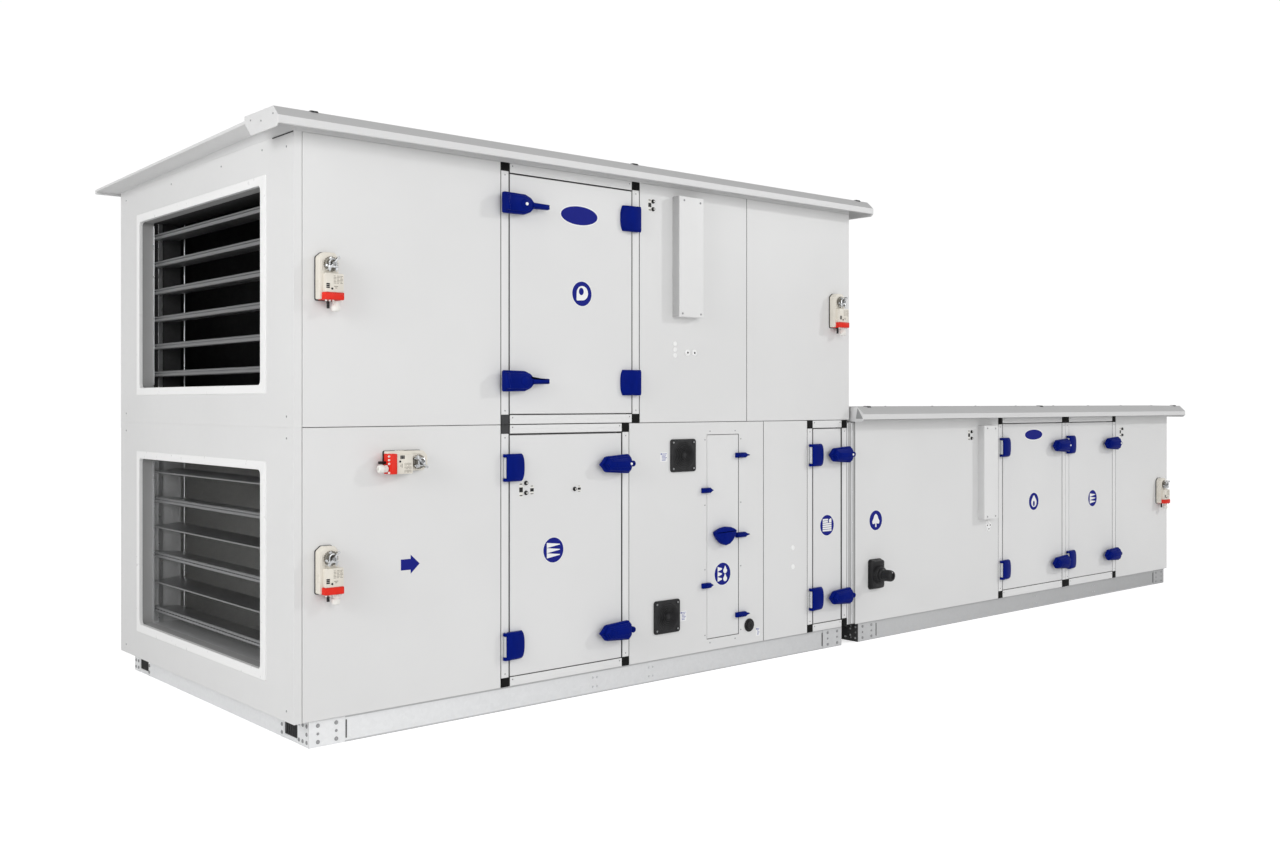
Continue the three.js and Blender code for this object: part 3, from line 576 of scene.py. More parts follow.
BASE_ZINC = (0.62, 0.625, 0.63)
FINISH = {
    "panel": paint("coated_panel", (0.745, 0.745, 0.742)),
    "post": paint("coated_profile", (0.775, 0.775, 0.772), rough=0.34),
    "door": paint("coated_door", (0.750, 0.750, 0.748), rough=0.34),
    "trim": paint("white_trim", (0.90, 0.90, 0.895), rough=0.32, vary=0.015),
    "inner": galvanised(
        "inner_zinc_sheet", (0.66, 0.665, 0.67), rough=0.45, spangle=0.6, metal=0.6),
    # the lining finish: near-black as painted shade on the inside of the upper deck
    "lining": plastic(
        "upper_interior_painted_shade", (0.022, 0.022, 0.023), rough=0.7, grain=0.35, vary=0.2, scale=180),
    "zinc": galvanised("zinc_base", (0.60, 0.605, 0.61), rough=0.55, spangle=0.5, metal=0.35),
    # the two base finishes: zinc lighter at low X and darker at high X, a painted fall-off of
    # light along the unit
    "base_long_painted_falloff": zinc_painted_falloff(
        "zinc_base_long_painted_falloff", BASE_ZINC, x_range=(-3.25, -0.25), painted_falloff=(1.44, 1.04)),
    "base_short_painted_falloff": zinc_painted_falloff(
        "zinc_base_short_painted_falloff", BASE_ZINC, x_range=(-0.1, 3.3), painted_falloff=(0.97, 0.72)),
    "steel": galvanised("plated_steel", (0.70, 0.71, 0.72), rough=0.30, spangle=0.4, metal=0.95),
    "dull": galvanised("dull_zinc", (0.40, 0.405, 0.41), rough=0.5, spangle=0.6, metal=0.8),
    "clamp": galvanised("clamp_zinc", (0.26, 0.245, 0.215), rough=0.42, spangle=0.6, metal=0.85),
    "plate_dark": paint("joint_plate_dark", (0.050, 0.050, 0.052), rough=0.5, vary=0.05),
    "alu": brushed("blade_aluminium", (0.36, 0.365, 0.37), along="y"),
    "alux": brushed("turned_aluminium", (0.66, 0.67, 0.68), along="x"),
    # roof sheet in lit and shaded copies by the way a face points: painted shade on the slope and
    # soffit, painted light on the end plates
    "roof": paint("roof_fascia", grey(0.70), rough=0.42, vary=0.02),
    "roof_top_painted_shade": paint("roof_slope_painted_shade", grey(0.49), rough=0.45),
    "roof_end_painted_light": paint("roof_end_plate_painted_light", grey(0.72), rough=0.42, vary=0.02),
    "soffit": paint("roof_soffit_painted_shade", grey(0.68), rough=0.5),
    # the edge finish: dark grey as painted shade on the faces inside the gaps of panels, posts and
    # doors
    "edge": paint("gap_painted_shade", grey(0.16), rough=0.6),
    # the two flank finishes: darker greys as painted shade on the low X flanks of the cable covers
    # and in the recessed section joint
    "side": paint("flank_painted_shade", grey(0.44), rough=0.5),
    "side_painted_shade_pale": paint("pale_flank_painted_shade", grey(0.62), rough=0.5),
    # the reveal finish: dark grey as painted shade on the cut faces of the louvre openings
    "reveal_painted_shade": paint("opening_reveal_painted_shade", grey(0.36), rough=0.5),
    "joint": brushed("joint_strip_zinc", (0.80, 0.805, 0.81), along="z", rough=0.5, metal=0.15),
    "blue": plastic("blue_moulding", (0.0012, 0.0090, 0.168),
                    rough=0.36, grain=0.08, vary=0.10, gloss=0.035),
    "ink": plastic(
        "blue_decal", (0.012, 0.017, 0.215), rough=0.5, grain=0.03, vary=0.04, gloss=0.06),
    "white": plastic("white_decal", grey(0.86), rough=0.42, grain=0.03, vary=0.02),
    "beige": plastic("beige_housing", (0.75, 0.71, 0.63), rough=0.46, grain=0.10, vary=0.04),
    "orange": plastic(
        "orange_cover", (0.74, 0.019, 0.006), rough=0.40, grain=0.10, vary=0.06, gloss=0.3),
    "cream": plastic("pale_plug", (0.80, 0.79, 0.75), rough=0.5, grain=0.06, vary=0.03),
    "black": plastic(
        "black_moulding", (0.014, 0.014, 0.015), rough=0.40, grain=0.14, vary=0.12, gloss=0.28),
    "cap": plastic("corner_cap", grey(0.010), rough=0.5, grain=0.14, vary=0.12, gloss=0.06),
    "cap_grey": plastic(
        "corner_cap_grey", (0.060, 0.060, 0.062), rough=0.5, grain=0.14, vary=0.12, gloss=0.1),
    "rubber": rubber("black_gasket", (0.016, 0.016, 0.017), rough=0.62),
    "grommet": rubber("grommet_rubber", (0.020, 0.020, 0.021), rough=0.55),
    "fibre": fibre("filter_fibre", (0.78, 0.76, 0.70)),
    "fins": fins("coil_fins", (0.62, 0.64, 0.65)),
    "copper": brushed("copper_tube", (0.62, 0.30, 0.17), along="z"),
    "motor": paint("motor_enamel", (0.055, 0.075, 0.095), rough=0.45, vary=0.06),
    "tag_print": plastic(
        "pale_blue_print", (0.16, 0.18, 0.42), rough=0.45, grain=0.03, vary=0.05),
    "mark": plastic("housing_print", (0.26, 0.23, 0.19), rough=0.5, grain=0.05, vary=0.05),
}


# ------------------------------------------------------------------ finishes of the frame nodes
def dress(name, *finishes, bevel=1.2, pick=None):
    """Gives a frame node its finishes and a small rolled edge.

    pick(face centre in casing mm, normal) chooses the finish of a face.
    """
    node = NODES[name]
    node.data.materials.clear()
    for finish in finishes:
        node.data.materials.append(FINISH[finish])
    if pick:
        faces = node.data.polygons
        indices = [pick((face.center - ORIGIN) * 1000, face.normal) for face in faces]
        faces.foreach_set("material_index", indices)
    if bevel > 0:
        weld = node.modifiers.new("weld", "WELD")
        weld.merge_threshold = 0.00005
        flat = node.modifiers.new("flat", "DECIMATE")
        flat.decimate_type = "DISSOLVE"
        flat.angle_limit = math.radians(0.5)
        flat.delimit = {"MATERIAL"}
        edge = node.modifiers.new("edge", "BEVEL")
        edge.width = bevel / 1000
        edge.segments = 2
        edge.limit_method = "ANGLE"
        edge.angle_limit = math.radians(35)


def shell_pick(z0, x0, x1):
    """0 outside, 1 on the faces inside the deck, 2 on the cut faces of the louvre openings, in
    dark grey as painted shade.
    """

    def pick(centre, normal):
        if x0 < centre.x < x1 and 46 < centre.y < DEPTH - 30:
            if z0 + 5 < centre.z < z0 + DECK - 5:
                return 1
        if 3 < centre.x <= 62 and 260 < centre.y < 1600 and abs(normal.x) < 0.3:
            return 2
        return 0

    return pick


def roof_pick(centre, normal):
    """Lit and shaded copies of one sheet: 0 fascia, 1 slope in painted shade, 2 end plates and the
    soffit of the low X overhang in a lighter copy as painted light, 3 soffit in painted shade.
    """
    if normal.z > 0.3:
        return 1
    if abs(normal.x) > 0.5:
        return 2
    if normal.z < -0.3:
        return 2 if centre.x < 2 else 3
    return 0


def fan_pick(fan_x, fan_z, side):
    """1 on the motor, found near the fan axis on one side of the fan; 0 elsewhere."""

    def pick(centre, normal):
        radius = math.hypot(centre.y - DEPTH / 2, centre.z - fan_z)
        return 1 if radius < 112 and (fan_x - centre.x) * side > 95 else 0

    return pick


# the upper deck's inside takes the near-black lining finish, painted shade of the deep deck
for name, lining, z0, x0, x1 in (
    ("lower_deck_shell", "inner", 0, 58, LEN_A - 20),
    ("upper_deck_shell", "lining", DECK, 58, LEN_A - 20),
    ("single_deck_shell", "inner", 0, B0 + 5, B1 - 40),
):
    dress(name, "panel", lining, "reveal_painted_shade", pick=shell_pick(z0, x0, x1))
dress("section_joint_frame", "joint", bevel=1.0)
for name in ("two_deck_roof", "single_deck_roof"):
    dress(name, "roof", "roof_top_painted_shade", "roof_end_painted_light", "soffit", bevel=1.5, pick=roof_pick)
dress("two_deck_base_frame", "base_long_painted_falloff", bevel=1.5)
dress("single_deck_base_frame", "base_short_painted_falloff", bevel=1.5)
for k in range(1, 7):
    dress(f"exhaust_blade_{k}", "alu", bevel=0.6)
    dress(f"intake_blade_{k}", "alu", bevel=0.6)
for name in ("recirculation_blade", "return_air_blade", "supply_outlet_blade"):
    dress(name, "alu", bevel=0.6)
for name in ("extract_impeller", "supply_impeller"):
    dress(name, "alux", bevel=0)
dress("extract_fan_frame", "dull", "motor", bevel=0, pick=fan_pick(1480, 1620, 1))
dress("supply_fan_frame", "dull", "motor", bevel=0, pick=fan_pick(4680, 540, -1))


# ------------------------------------------------------------------ front panels, posts, caps
def second_finish(obj, finish, test):
    obj.data.materials.append(FINISH[finish])
    for face in obj.data.polygons:
        if test(face):
            face.material_index = 1


def paint_gap_shade(obj, low=-math.inf, high=math.inf):
    """Faces that run back into a gap, between two places along X, take the dark edge finish:
    painted shade in the gap.
    """

    def in_gap(face):
        return abs(face.normal.y) < 0.25 and low < (face.center.x - ORIGIN.x) * 1000 < high

    second_finish(obj, "edge", in_gap)


def shaft_hole(name):
    x, z = SHAFTS[name]
    return (x - 11, x + 11, z - 11, z + 11)


HATCH_HOLE = (HATCH[0] - 2.5, HATCH[1] + 2.5, HATCH[2] - 2.5, HATCH[3] + 2.5)
# name: z0, z1 and panels of x0, x1, holes
FRONT_PANELS = {
    "lower_front": (0.5, 1078.8, [
        (33.5, 906.3, [shaft_hole("intake"), shaft_hole("recirculation")]),
        (1599.7, 2465.3, [HATCH_HOLE]),
        (2468.7, 2787.3, []),
    ]),
    "upper_front": (1081.2, 2159.5, [
        (33.5, 906.3, [shaft_hole("exhaust")]),
        (1661.7, 2347.5, []),
        (2350.5, 3116.5, [shaft_hole("return")]),
    ]),
    "single_deck_front": (0.5, 1079.5, [
        (B0 + 0.5, 4495.3, []),
        (5879.2, B1 - 0.5, [shaft_hole("supply")]),
    ]),
}
for name, (z0, z1, rows) in FRONT_PANELS.items():
    part = Part()
    for x0, x1, holes in rows:
        part.plate(x0, x1, z0, z1, 0, PANEL_BACK, holes, PANEL_EDGE)
    panels = part.make(f"{name}_panels", PANEL, "panel", replaces=(f"{name}_frame",))
    paint_gap_shade(panels, 40, B1 - 20)

# posts and rails between the corner caps: x0, x1, z0, z1
POSTS = {
    "lower_front_posts": [
        (909.5, 946.5, 38.6, 1042.5), (1560, 1597, 40.6, 1040.4),
        (2790.5, 2827.5, 40.6, 1038.4), (3060.5, 3097.5, 42.6, 1037.4),
        (953, 1556, 1043, 1078.8), (953, 1556, 0.5, 37.5),
        (2831, 3057, 1041, 1078.8), (2831, 3057, 0.5, 37.5),
    ],
    "upper_front_posts": [
        (909.5, 946.5, 1121.6, 2124.4), (1618.5, 1657.8, 1120.6, 2122.4),
        (953, 1614.5, 1082.2, 1119.5), (953, 1614.5, 2120.5, 2159.5),
    ],
    "single_deck_posts": [
        (4498.5, 4538.5, 42.6, 1040.4), (5211.5, 5249.3, 45.6, 1041.4),
        (5250.7, 5288.5, 45.6, 1041.4), (5837.5, 5876, 44.6, 1040.4),
        (4543, 5207.5, 1046.5, 1079.5), (4543, 5207.5, 0.5, 43.5),
        (5292.5, 5833.5, 1046.5, 1079.5), (5292.5, 5833.5, 0.5, 43.5),
    ],
}
# name: finish, front edge radius is shared; caps of x0, x1, z0, z1
CAPS = {
    "lower_corner_caps": ("cap", [
        (909, 947, 0.5, 38), (1559.5, 1597.5, 0.5, 40), (1559.5, 1597.5, 1041, 1079),
        (2790, 2828, 0.5, 40), (2790, 2828, 1039, 1079),
        (3060, 3098, 0.5, 42), (3060, 3098, 1038, 1079),
    ]),
    "upper_corner_caps": ("cap", [
        (908.5, 947, 2125, 2159.5), (1618, 1658, 2123, 2159.5), (1618, 1658, 1081, 1120),
    ]),
    "single_deck_corner_caps": ("cap", [
        (4498, 4539, 0.5, 42), (4498, 4528, 1041, 1079.5), (5211, 5289, 1042, 1079.5),
        (5211, 5289, 0.5, 45), (5837, 5876.5, 1041, 1079.5), (5837, 5876.5, 0.5, 44),
    ]),
    "stacked_corner_caps": ("cap_grey", [(909, 947, 1043.2, 1078.6), (909, 947, 1080.2, 1121)]),
}
for name, rows in POSTS.items():
    part = Part()
    for x0, x1, z0, z1 in rows:
        if x1 - x0 > z1 - z0:
            # rail: shallow centre groove along its length
            middle = (z0 + z1) / 2
            groove = [(0.6, middle + 1.2), (1.4, middle), (0.6, middle - 1.2)]
            section = [(0.6, z0), (PANEL_BACK, z0), (PANEL_BACK, z1), (0.6, z1)] + groove
            part.prism("x", rounded(section, [2.5, 1, 1, 2.5, 0, 0, 0], 3), x0, x1, 0.5)
        else:
            section = rect(x0, x1, 0.4, PANEL_BACK)
            part.prism("z", rounded(section, [2.5, 2.5, 1, 1], 3), z0, z1, 0.5)
    paint_gap_shade(part.make(name, PANEL, "post"))
for name, (finish, rows) in CAPS.items():
    part = Part()
    for row in rows:
        part.slab(round_rect(*row, 2.0), -0.4, 44.5, 1.4)
    part.make(name, BLACK, finish)

# screws round the hatch: x, z
HATCH_SCREWS = [
    (2067, 996), (2067, 688), (2067, 384), (2067, 75),
    (2307, 996), (2307, 690), (2307, 383), (2307, 75),
    (2100, 1036), (2268, 1036), (2100, 37), (2268, 37),
]
part = Part()
for rows in POSTS.values():
    for x0, x1, z0, z1 in rows:
        if x1 - x0 > z1 - z0:
            for x in (x0 + 13, x1 - 13):
                part.screw("y", (x, (z0 + z1) / 2 + 8), 0.6, 3.2, 1.4)
        else:
            for z in (z0 + 16, z1 - 16):
                part.screw("y", ((x0 + x1) / 2, z), 0.4, 3.2, 1.4)
for place in HATCH_SCREWS:
    part.screw("y", place, 0, 3.4, 1.5)
part.make("front_screws", STEEL, "dull")

# ------------------------------------------------------------------ cable cover boxes
for name, x0, x1, z0, z1, finish in (
    ("upper_cable_cover", 1861, 2019, 1565, 2118, "side"),
    ("single_deck_cable_cover", 4284, 4430, 488, 1036, "side_painted_shade_pale"),
):
    part = Part()
    part.prism("z", rounded(rect(x0, x1, COVER_FRONT, -0.2), [7, 7, 0, 0], 5), z0, z1, 1.5)
    # faces turned to low X take a darker grey: painted shade on the cover flanks
    second_finish(part.make(name, PANEL, "post"), finish, lambda face: face.normal.x < -0.6)
part = Part()
for place in (
    (1893, 2100), (1995, 2096), (1883, 1580), (1998, 1580),
    (4316, 1020), (4398, 1018), (4316, 503), (4398, 503),
):
    part.screw("y", place, COVER_FRONT, 5.0, 2.4)
part.make("cable_cover_screws", STEEL, "dull")

# ------------------------------------------------------------------ pipe grommets
part, screws = Part(), Part()
for x0, x1, z0, z1 in ((1844, 2004, 850, 1003), (1743, 1903, 115, 268)):
    centre = ((x0 + x1) / 2, (z0 + z1) / 2)
    part.slab(round_rect(x0 + 1, x1 - 1, z0 + 1, z1 - 1, 13, 6), -7.5, -0.2, 2.2)
    for radius in (66, 57, 48, 39, 30, 21):
        y = -7.5 - (66 - radius) * 0.13
        profile = [
            (-7.0, radius - 5.5), (y - 1.2, radius - 5.5), (y - 2.2, radius - 3.6),
            (y - 2.2, radius - 2.0), (-7.0, radius),
        ]
        part.turn("y", centre, profile, 40, loop=True)
    part.turn("y", centre, [(-7.0, 15), (-14, 13), (-16, 10), (-16, 0.5)], 32)
    for x in (x0 + 16, x1 - 16):
        for z in (z0 + 16, z1 - 16):
            part.turn("y", (x, z), [(-7.0, 11), (-9.0, 10.2), (-9.0, 7)], 20)
            screws.screw("y", (x, z), -8.6, 4.6, 2.2)
part.make("pipe_grommets", RUBBER, "grommet")
screws.make("grommet_screws", STEEL, "dull")

# ------------------------------------------------------------------ drain and blanking plugs
part = Part()
profile = [
    (-0.2, 32), (-3, 32), (-5.5, 30), (-5.5, 26.5), (-3.5, 25.5), (-3.5, 22),
    (-9, 21), (-10.5, 19), (-10.5, 7), (-6, 6),
]
part.turn("y", (2364, 90), profile, 36)
part.box(2344, 2384, -11.5, -9.5, 87, 93, 0.8)
part.make("condensate_plug", BLACK, "black")

CABLE_GLANDS = [(1953, 1403), (1997, 1403), (4376, 446), (4404, 446), (4391, 424)]
# places (x, z), profile (y, radius), steps
PLUGS = (
    ([(2678, 441), (2678, 346)], [(-0.2, 13), (-2.2, 13), (-3.6, 11), (-3.6, 0.5)], 20),
    ([(1875, 1442), (1875, 1415), (1875, 1388)],
     [(-0.2, 11), (-2.5, 11), (-4.0, 9), (-4.0, 4), (-2.2, 3.4)], 20),
    (CABLE_GLANDS, [(-0.2, 15), (-3.0, 15), (-5.0, 12.5), (-5.0, 5.0), (-3.0, 4.4)], 24),
    ([(4376, 466), (4391, 468)], [(-0.2, 9), (-2.5, 9), (-3.6, 7), (-3.6, 0.5)], 18),
)
part, seals = Part(), Part()
for places, profile, steps in PLUGS:
    for place in places:
        part.turn("y", place, profile, steps)
for place in CABLE_GLANDS:
    seals.turn("y", place, [(-2.9, 4.3), (-5.6, 4.0), (-6.4, 2.5)], 14)
part.make("blanking_plugs", WHITE, "trim")
seals.make("cable_gland_seals", RUBBER, "rubber")


# ------------------------------------------------------------------ pressure test ports
def test_ports(ports_name, tags_name, marks_name, body, ports, stickers):
    """Black nipples with pale caps, and pale stickers with a dark field and two thin bars.

    ports are x, z; stickers are x0, x1, z0, z1.
    """
    nipples, tags, marks = Part(), Part(), Part()
    nipple = [
        (-0.2, 9.5), (-2.0, 9.5), (-3.0, 7.4), (-8.0, 7.0), (-9.0, 6.2), (-9.0, 3.4), (-6.0, 3.2),
    ]
    for place in ports:
        nipples.turn("y", place, nipple, 20)
        tags.turn("y", place, [(-5.8, 3.6), (-9.4, 3.4), (-10.0, 2.2)], 12)
    for x0, x1, z0, z1 in stickers:
        tags.slab(round_rect(x0 - 2, x1 + 2, z0, z1, 1.5, 2), -0.35, 0.2, 0.1)
        height = z1 - z0
        for bar in (
            (x0 - 1, x1 + 1, z0 + height * 0.33, z0 + height * 0.67),
            (x0 + 1, x1 - 1, z0 + height * 0.06, z0 + height * 0.13),
            (x0 + 1, x1 - 3, z1 - height * 0.13, z1 - height * 0.06),
        ):
            marks.slab(rect(*bar), -0.7, 0.0)
    nipples.make(ports_name, BLACK, "black", body)
    tags.make(tags_name, WHITE, "cream", body)
    marks.make(marks_name, BLACK, "black", body)


# ------------------------------------------------------------------ pictograms
SIGN_RADIUS = 53
SIGN_WHITE = {
    "extract": [arc(2, 3, 31, -92, 178, 30) + [(-30, -26), (-26, -30)]],
    "supply": [arc(1, -6, 29, -210, 30, 30) + [(6, 36), (-4, 36)]],
    "filter": [
        [(-35, z - 11.2), (34, z - 0.8), (34, z + 2.2), (-35, z + 10.4)] for z in (22, 0, -22)
    ],
    "droplet": [
        [(-33, z - 11.6), (-5, z - 3.0), (-5, z + 3.0), (-33, z + 11.2)] for z in (24, 0, -24)
    ] + [
        [(17, z + 20), (10, z + 6)] + arc(17, z - 5, 12.5, 155, 385, 14) + [(24, z + 6)]
        for z in (19, -19)
    ],
    "coil": [
        rect(-34, 34 if k > 1 else 7, 33 - k * 11 - 8.6, 33 - k * 11) for k in range(6)
    ] + [[(15, 13), (34, 13), (34, 34), (24, 34), (24, 30), (15, 30)]],
    "tree": [
        rounded(
            [(0, 36), (13, 26), (20, 10), (31, -6), (26, -20), (8, -17), (-8, -17),
             (-26, -20), (-31, -6), (-20, 10), (-13, 26)],
            [6, 6, 4, 8, 8, 3, 3, 8, 8, 4, 6],
        ),
        [(-5.5, -36), (5.5, -36), (4.5, -14), (-4.5, -14)],
    ],
}
# blue ovals over the white shapes
SIGN_BLUE = {"extract": disc(-4, 10, 13.0, 22, 16.0), "supply": disc(0, -13, 10.0, 22, 17.0)}


def sign(blue, white, x, z, kind):
    """Round blue sign with a white rim and white shapes."""
    white.slab(disc(x, z, SIGN_RADIUS + 2.4, 44), -0.35, 0.2)
    blue.slab(disc(x, z, SIGN_RADIUS, 44), -0.7, 0.2)
    for shape in SIGN_WHITE[kind]:
        white.slab(offset(shape, x, z), -1.05, -0.3)
    if kind in SIGN_BLUE:
        blue.slab(offset(SIGN_BLUE[kind], x, z), -1.4, -0.3)


def badge(blue, white, x, z, half_width, half_height):
    white.slab(disc(x, z, half_width + 5.5, 56, half_height + 5.0), -0.5, 0.2)
    blue.slab(disc(x, z, half_width, 56, half_height), -0.95, 0.2)


# arrow towards +X, and the tree sign
blue, white = Part(), Part()
x0, x1, z0, z1 = 441, 524, 510, 578
middle = (z0 + z1) / 2
stem = (z1 - z0) / 2 * 0.62
head_x = x0 + 0.52 * (x1 - x0)
arrow = [
    (x0, middle - stem), (head_x, middle - stem), (head_x, z0 - 3), (x1, middle),
    (head_x, z1 + 3), (head_x, middle + stem), (x0, middle + stem),
]
blue.slab(arrow, -0.5, 0.2)
sign(blue, white, 3338, 539, "tree")
blue.make("casing_decals_blue", BLUE, "ink")

# small pale tags beside the grommets and the drain plug, with plain bars and a dot
part = Part()
for x0, x1, z0, z1 in ((1785, 1828, 901, 943), (1909, 1947, 159, 205), (2412, 2440, 30, 72)):
    white.slab(round_rect(x0, x1, z0, z1, 1.5, 2), -0.3, 0.2)
    for k in range(6):
        top = z1 - 5 - k * (z1 - z0 - 7) / 6
        part.slab(rect(x0 + 9, x1 - 3 - (k % 3) * 4, top - 2.6, top), -0.5, 0.0)
    part.slab(disc(x0 + 5.5, z1 - 7, 4.2, 12), -0.5, 0.0)
white.make("casing_decals_white", WHITE, "white")
part.make("tag_bars", BLUE, "tag_print")


# ------------------------------------------------------------------ doors
PIN_Y = -12  # hinge pins


def pin_x(door):
    return door.opening[0] - 29 if door.side > 0 else door.opening[1] + 29


def handle_x(door):
    return door.opening[1] - 25 if door.side > 0 else door.opening[0] + 32


def hinge_leaf(part, pin, z, side):
    """D-shaped moulded leaf that wraps over the knuckle, with an ear at each end of the pin."""
    half = 56.5
    rows = []
    for k in range(15):
        t = -1 + 2 * k / 14
        end = 97 - 12 * abs(t) ** 3.0
        fall = max(0, (abs(t) - 0.86) / 0.14)
        depth = 1 - 0.30 * fall**2
        # across the leaf: distance from the pin, y
        crown = [
            (14.5, -19.5), (4, -23.9), (-5, -24.1), (-6, -25.0), (-4, -26.0), (14, -27.0),
            (30, -27.2), (46, -25.4), (66, -21.6),
            (end - 12, -17.2), (end - 4.5, -14.4), (end - 1, -9.8),
        ]
        profile = [(15, -0.2)] + [(x, y * depth) for x, y in crown] + [(end, -5), (end, -0.2)]
        rows.append([(pin + side * x, y, z + t * half) for x, y in profile])
    part.rings(rows)
    ear = [(17, -0.4), (0, 0)] + arc(0, PIN_Y, 12, 90, 270, 10) + [(17, -24)]
    for low, high in ((-half, -43.5), (43.5, half)):
        part.prism("z", [(pin + side * x, y) for x, y in ear], z + low, z + high, 1.2)


def panel_door(door):
    body = f"{door.name}_door"
    x0, x1, z0, z1 = door.opening
    part = Part()
    part.plate(x0, x1, z0, z1, 0, 30, (), 2.2)
    # inner pan, set in from the edge
    part.slab(round_rect(x0 + 14, x1 - 14, z0 + 14, z1 - 14, 8, 3), 29, 45, 0, 3)
    paint_gap_shade(part.make(f"{body}_panel", PANEL, "door", body, replaces=(body,)))

    seal = Part()
    for strip in (
        (x0 + 2, x0 + 13, z0 + 2, z1 - 2), (x1 - 13, x1 - 2, z0 + 2, z1 - 2),
        (x0 + 13, x1 - 13, z0 + 2, z0 + 13), (x0 + 13, x1 - 13, z1 - 13, z1 - 2),
    ):
        seal.slab(rect(*strip), 30, 40, 0, 3)
    seal.make(f"{body}_seal", RUBBER, "rubber", body)

    pin, handle = pin_x(door), handle_x(door)
    leaves, pins = Part(), Part()
    for z in door.hinge_z:
        hinge_leaf(leaves, pin, z, door.side)
    for z in door.handle_z:
        boss = [(-0.2, 26), (-5, 25.5), (-8, 22), (-20, 21.5), (-20, 10)]
        leaves.turn("y", (handle, z), boss, 24)
        pins.turn("y", (handle, z), [(-19, 8), (-38, 8), (-38, 4)], 12)
    leaves.make(f"{body}_hinge_leaves", BLUE, "blue", body)
    for z in door.hinge_z:
        pins.rod("z", (pin, PIN_Y), 3.6, z - 57.8, z + 57.8, 12, 0.8)
    pins.make(f"{body}_pins", STEEL, "steel", body)

    blue, white = Part(), Part()
    if door.badge:
        badge(blue, white, *door.badge)
    sign(blue, white, *door.sign_at, door.sign)
    blue.make(f"{body}_decal_blue", BLUE, "ink", body)
    white.make(f"{body}_decal_white", WHITE, "white", body)


for door in DOORS:
    panel_door(door)

test_ports(
    "filter_door_ports", "filter_door_tags", "filter_door_tag_marks", "filter_door",
    ports=[(1033, 836), (1033, 795), (1290, 800)],
    stickers=[(1000, 1016, 779, 838), (1056, 1072, 786, 826), (1308, 1322, 786, 814)],
)
test_ports(
    "test_ports", "port_tags", "port_tag_marks", "casing",
    ports=[(1740, 2083), (1740, 2048), (4220, 1001), (4220, 963), (5962, 994), (5962, 953)],
    stickers=[(1713, 1729, 2038, 2093), (4188, 4204, 952, 1011), (5931, 5945, 943, 1004)],
)

# fixed knuckles of the hinges: a barrel over a foot on the post, with three collars
part = Part()
for door in DOORS:
    pin = pin_x(door)
    foot = [(pin - 7.5, -4), (pin - 7.5, 0.6), (pin + 7.5, 0.6), (pin + 7.5, -4)]
    for z in door.hinge_z:
        part.prism("z", arc(pin, PIN_Y, 10.5, 0, -180, 12) + foot, z - 42, z + 42, 1.0)
        for collar in (z - 21, z, z + 21):
            low, high = collar - 1.2, collar + 1.2
            profile = [(low, 10.0), (low, 11.0), (high, 11.0), (high, 10.0)]
            part.turn("z", (pin, PIN_Y), profile, 24)
part.make("hinge_knuckles", STEEL, "steel")

# ------------------------------------------------------------------ levers
# solids of a lever: outline (distance along the lever, z) and levels (y, inset)
PADDLE_LEVER = [
    (rounded(
        [(84, -40), (84, 40), (78, 44), (-24, 42), (-52, 30), (-68, 13), (-148, 11),
         (-148, -11), (-68, -13), (-52, -30), (-24, -42), (78, -44)],
        [5, 5, 4, 22, 16, 8, 3, 3, 8, 16, 22, 4], 5),
     [(-42, 5.5), (-40.2, 3.0), (-36, 1.0), (-32, 0), (-22.5, 0), (-20.5, 1.2)]),
    (rounded([(82, -35), (82, 35), (-22, 34), (-48, 20), (-48, -20), (-22, -34)],
             [6, 6, 18, 14, 14, 18], 5),
     [(-50, 6), (-49.2, 3.4), (-46.5, 1.2), (-40, 0)]),
    # raised grip step at the post end, and a narrow bar on it
    (rounded([(84, -35), (84, 35), (58, 33), (58, -33)], 6, 3),
     [(-56, 6), (-54.6, 2.6), (-51, 0.8), (-44, 0)]),
    (rounded([(65, -10), (65, 10), (61, 10), (61, -10)], 1.5, 2),
     [(-57.2, 0.8), (-56.4, 0), (-54, 0)]),
    # round boss, and a rib along the arm
    (disc(-14, 0, 20, 28), [(-53, 3.0), (-52.2, 1.2), (-50.4, 0), (-46, 0)]),
    (rounded([(-60, -8), (-60, 8), (-140, 6), (-140, -6)], 3, 3),
     [(-45, 2), (-44.2, 0.6), (-41, 0)]),
]
RING_LEVER = [
    (rounded(
        [(-126, 0), (-113, 12), (-96, 32), (-86, 35), (34, 43), (50, 26), (52, 13), (59, 12),
         (59, -12), (52, -13), (50, -26), (34, -43), (-86, -35), (-96, -32), (-113, -12)],
        [3, 4, 6, 6, 8, 5, 3, 12, 12, 3, 5, 8, 6, 6, 4], 5),
     [(-40, 4.5), (-38.2, 2.2), (-35, 0.6), (-31, 0), (-22.5, 0), (-20.5, 1.2)]),
    (rounded([(-108, 0), (-88, 28), (30, 36), (43, 20), (43, -20), (30, -36), (-88, -28)],
             [5, 8, 8, 7, 7, 8, 8], 5),
     [(-54, 9), (-53, 6), (-50, 2.8), (-44, 0.8), (-38, 0)]),
    # broad pad on the crown with two small embossed bars
    (rounded(rect(-78, 24, -14, 14), 8, 5), [(-56.4, 2.4), (-55.8, 0.8), (-53.2, 0)]),
] + [
    (rounded(rect(x, x + 7, -6, 6), 2, 3), [(-57.6, 0.8), (-57.2, 0.2), (-55.5, 0)])
    for x in (-62, -48)
]


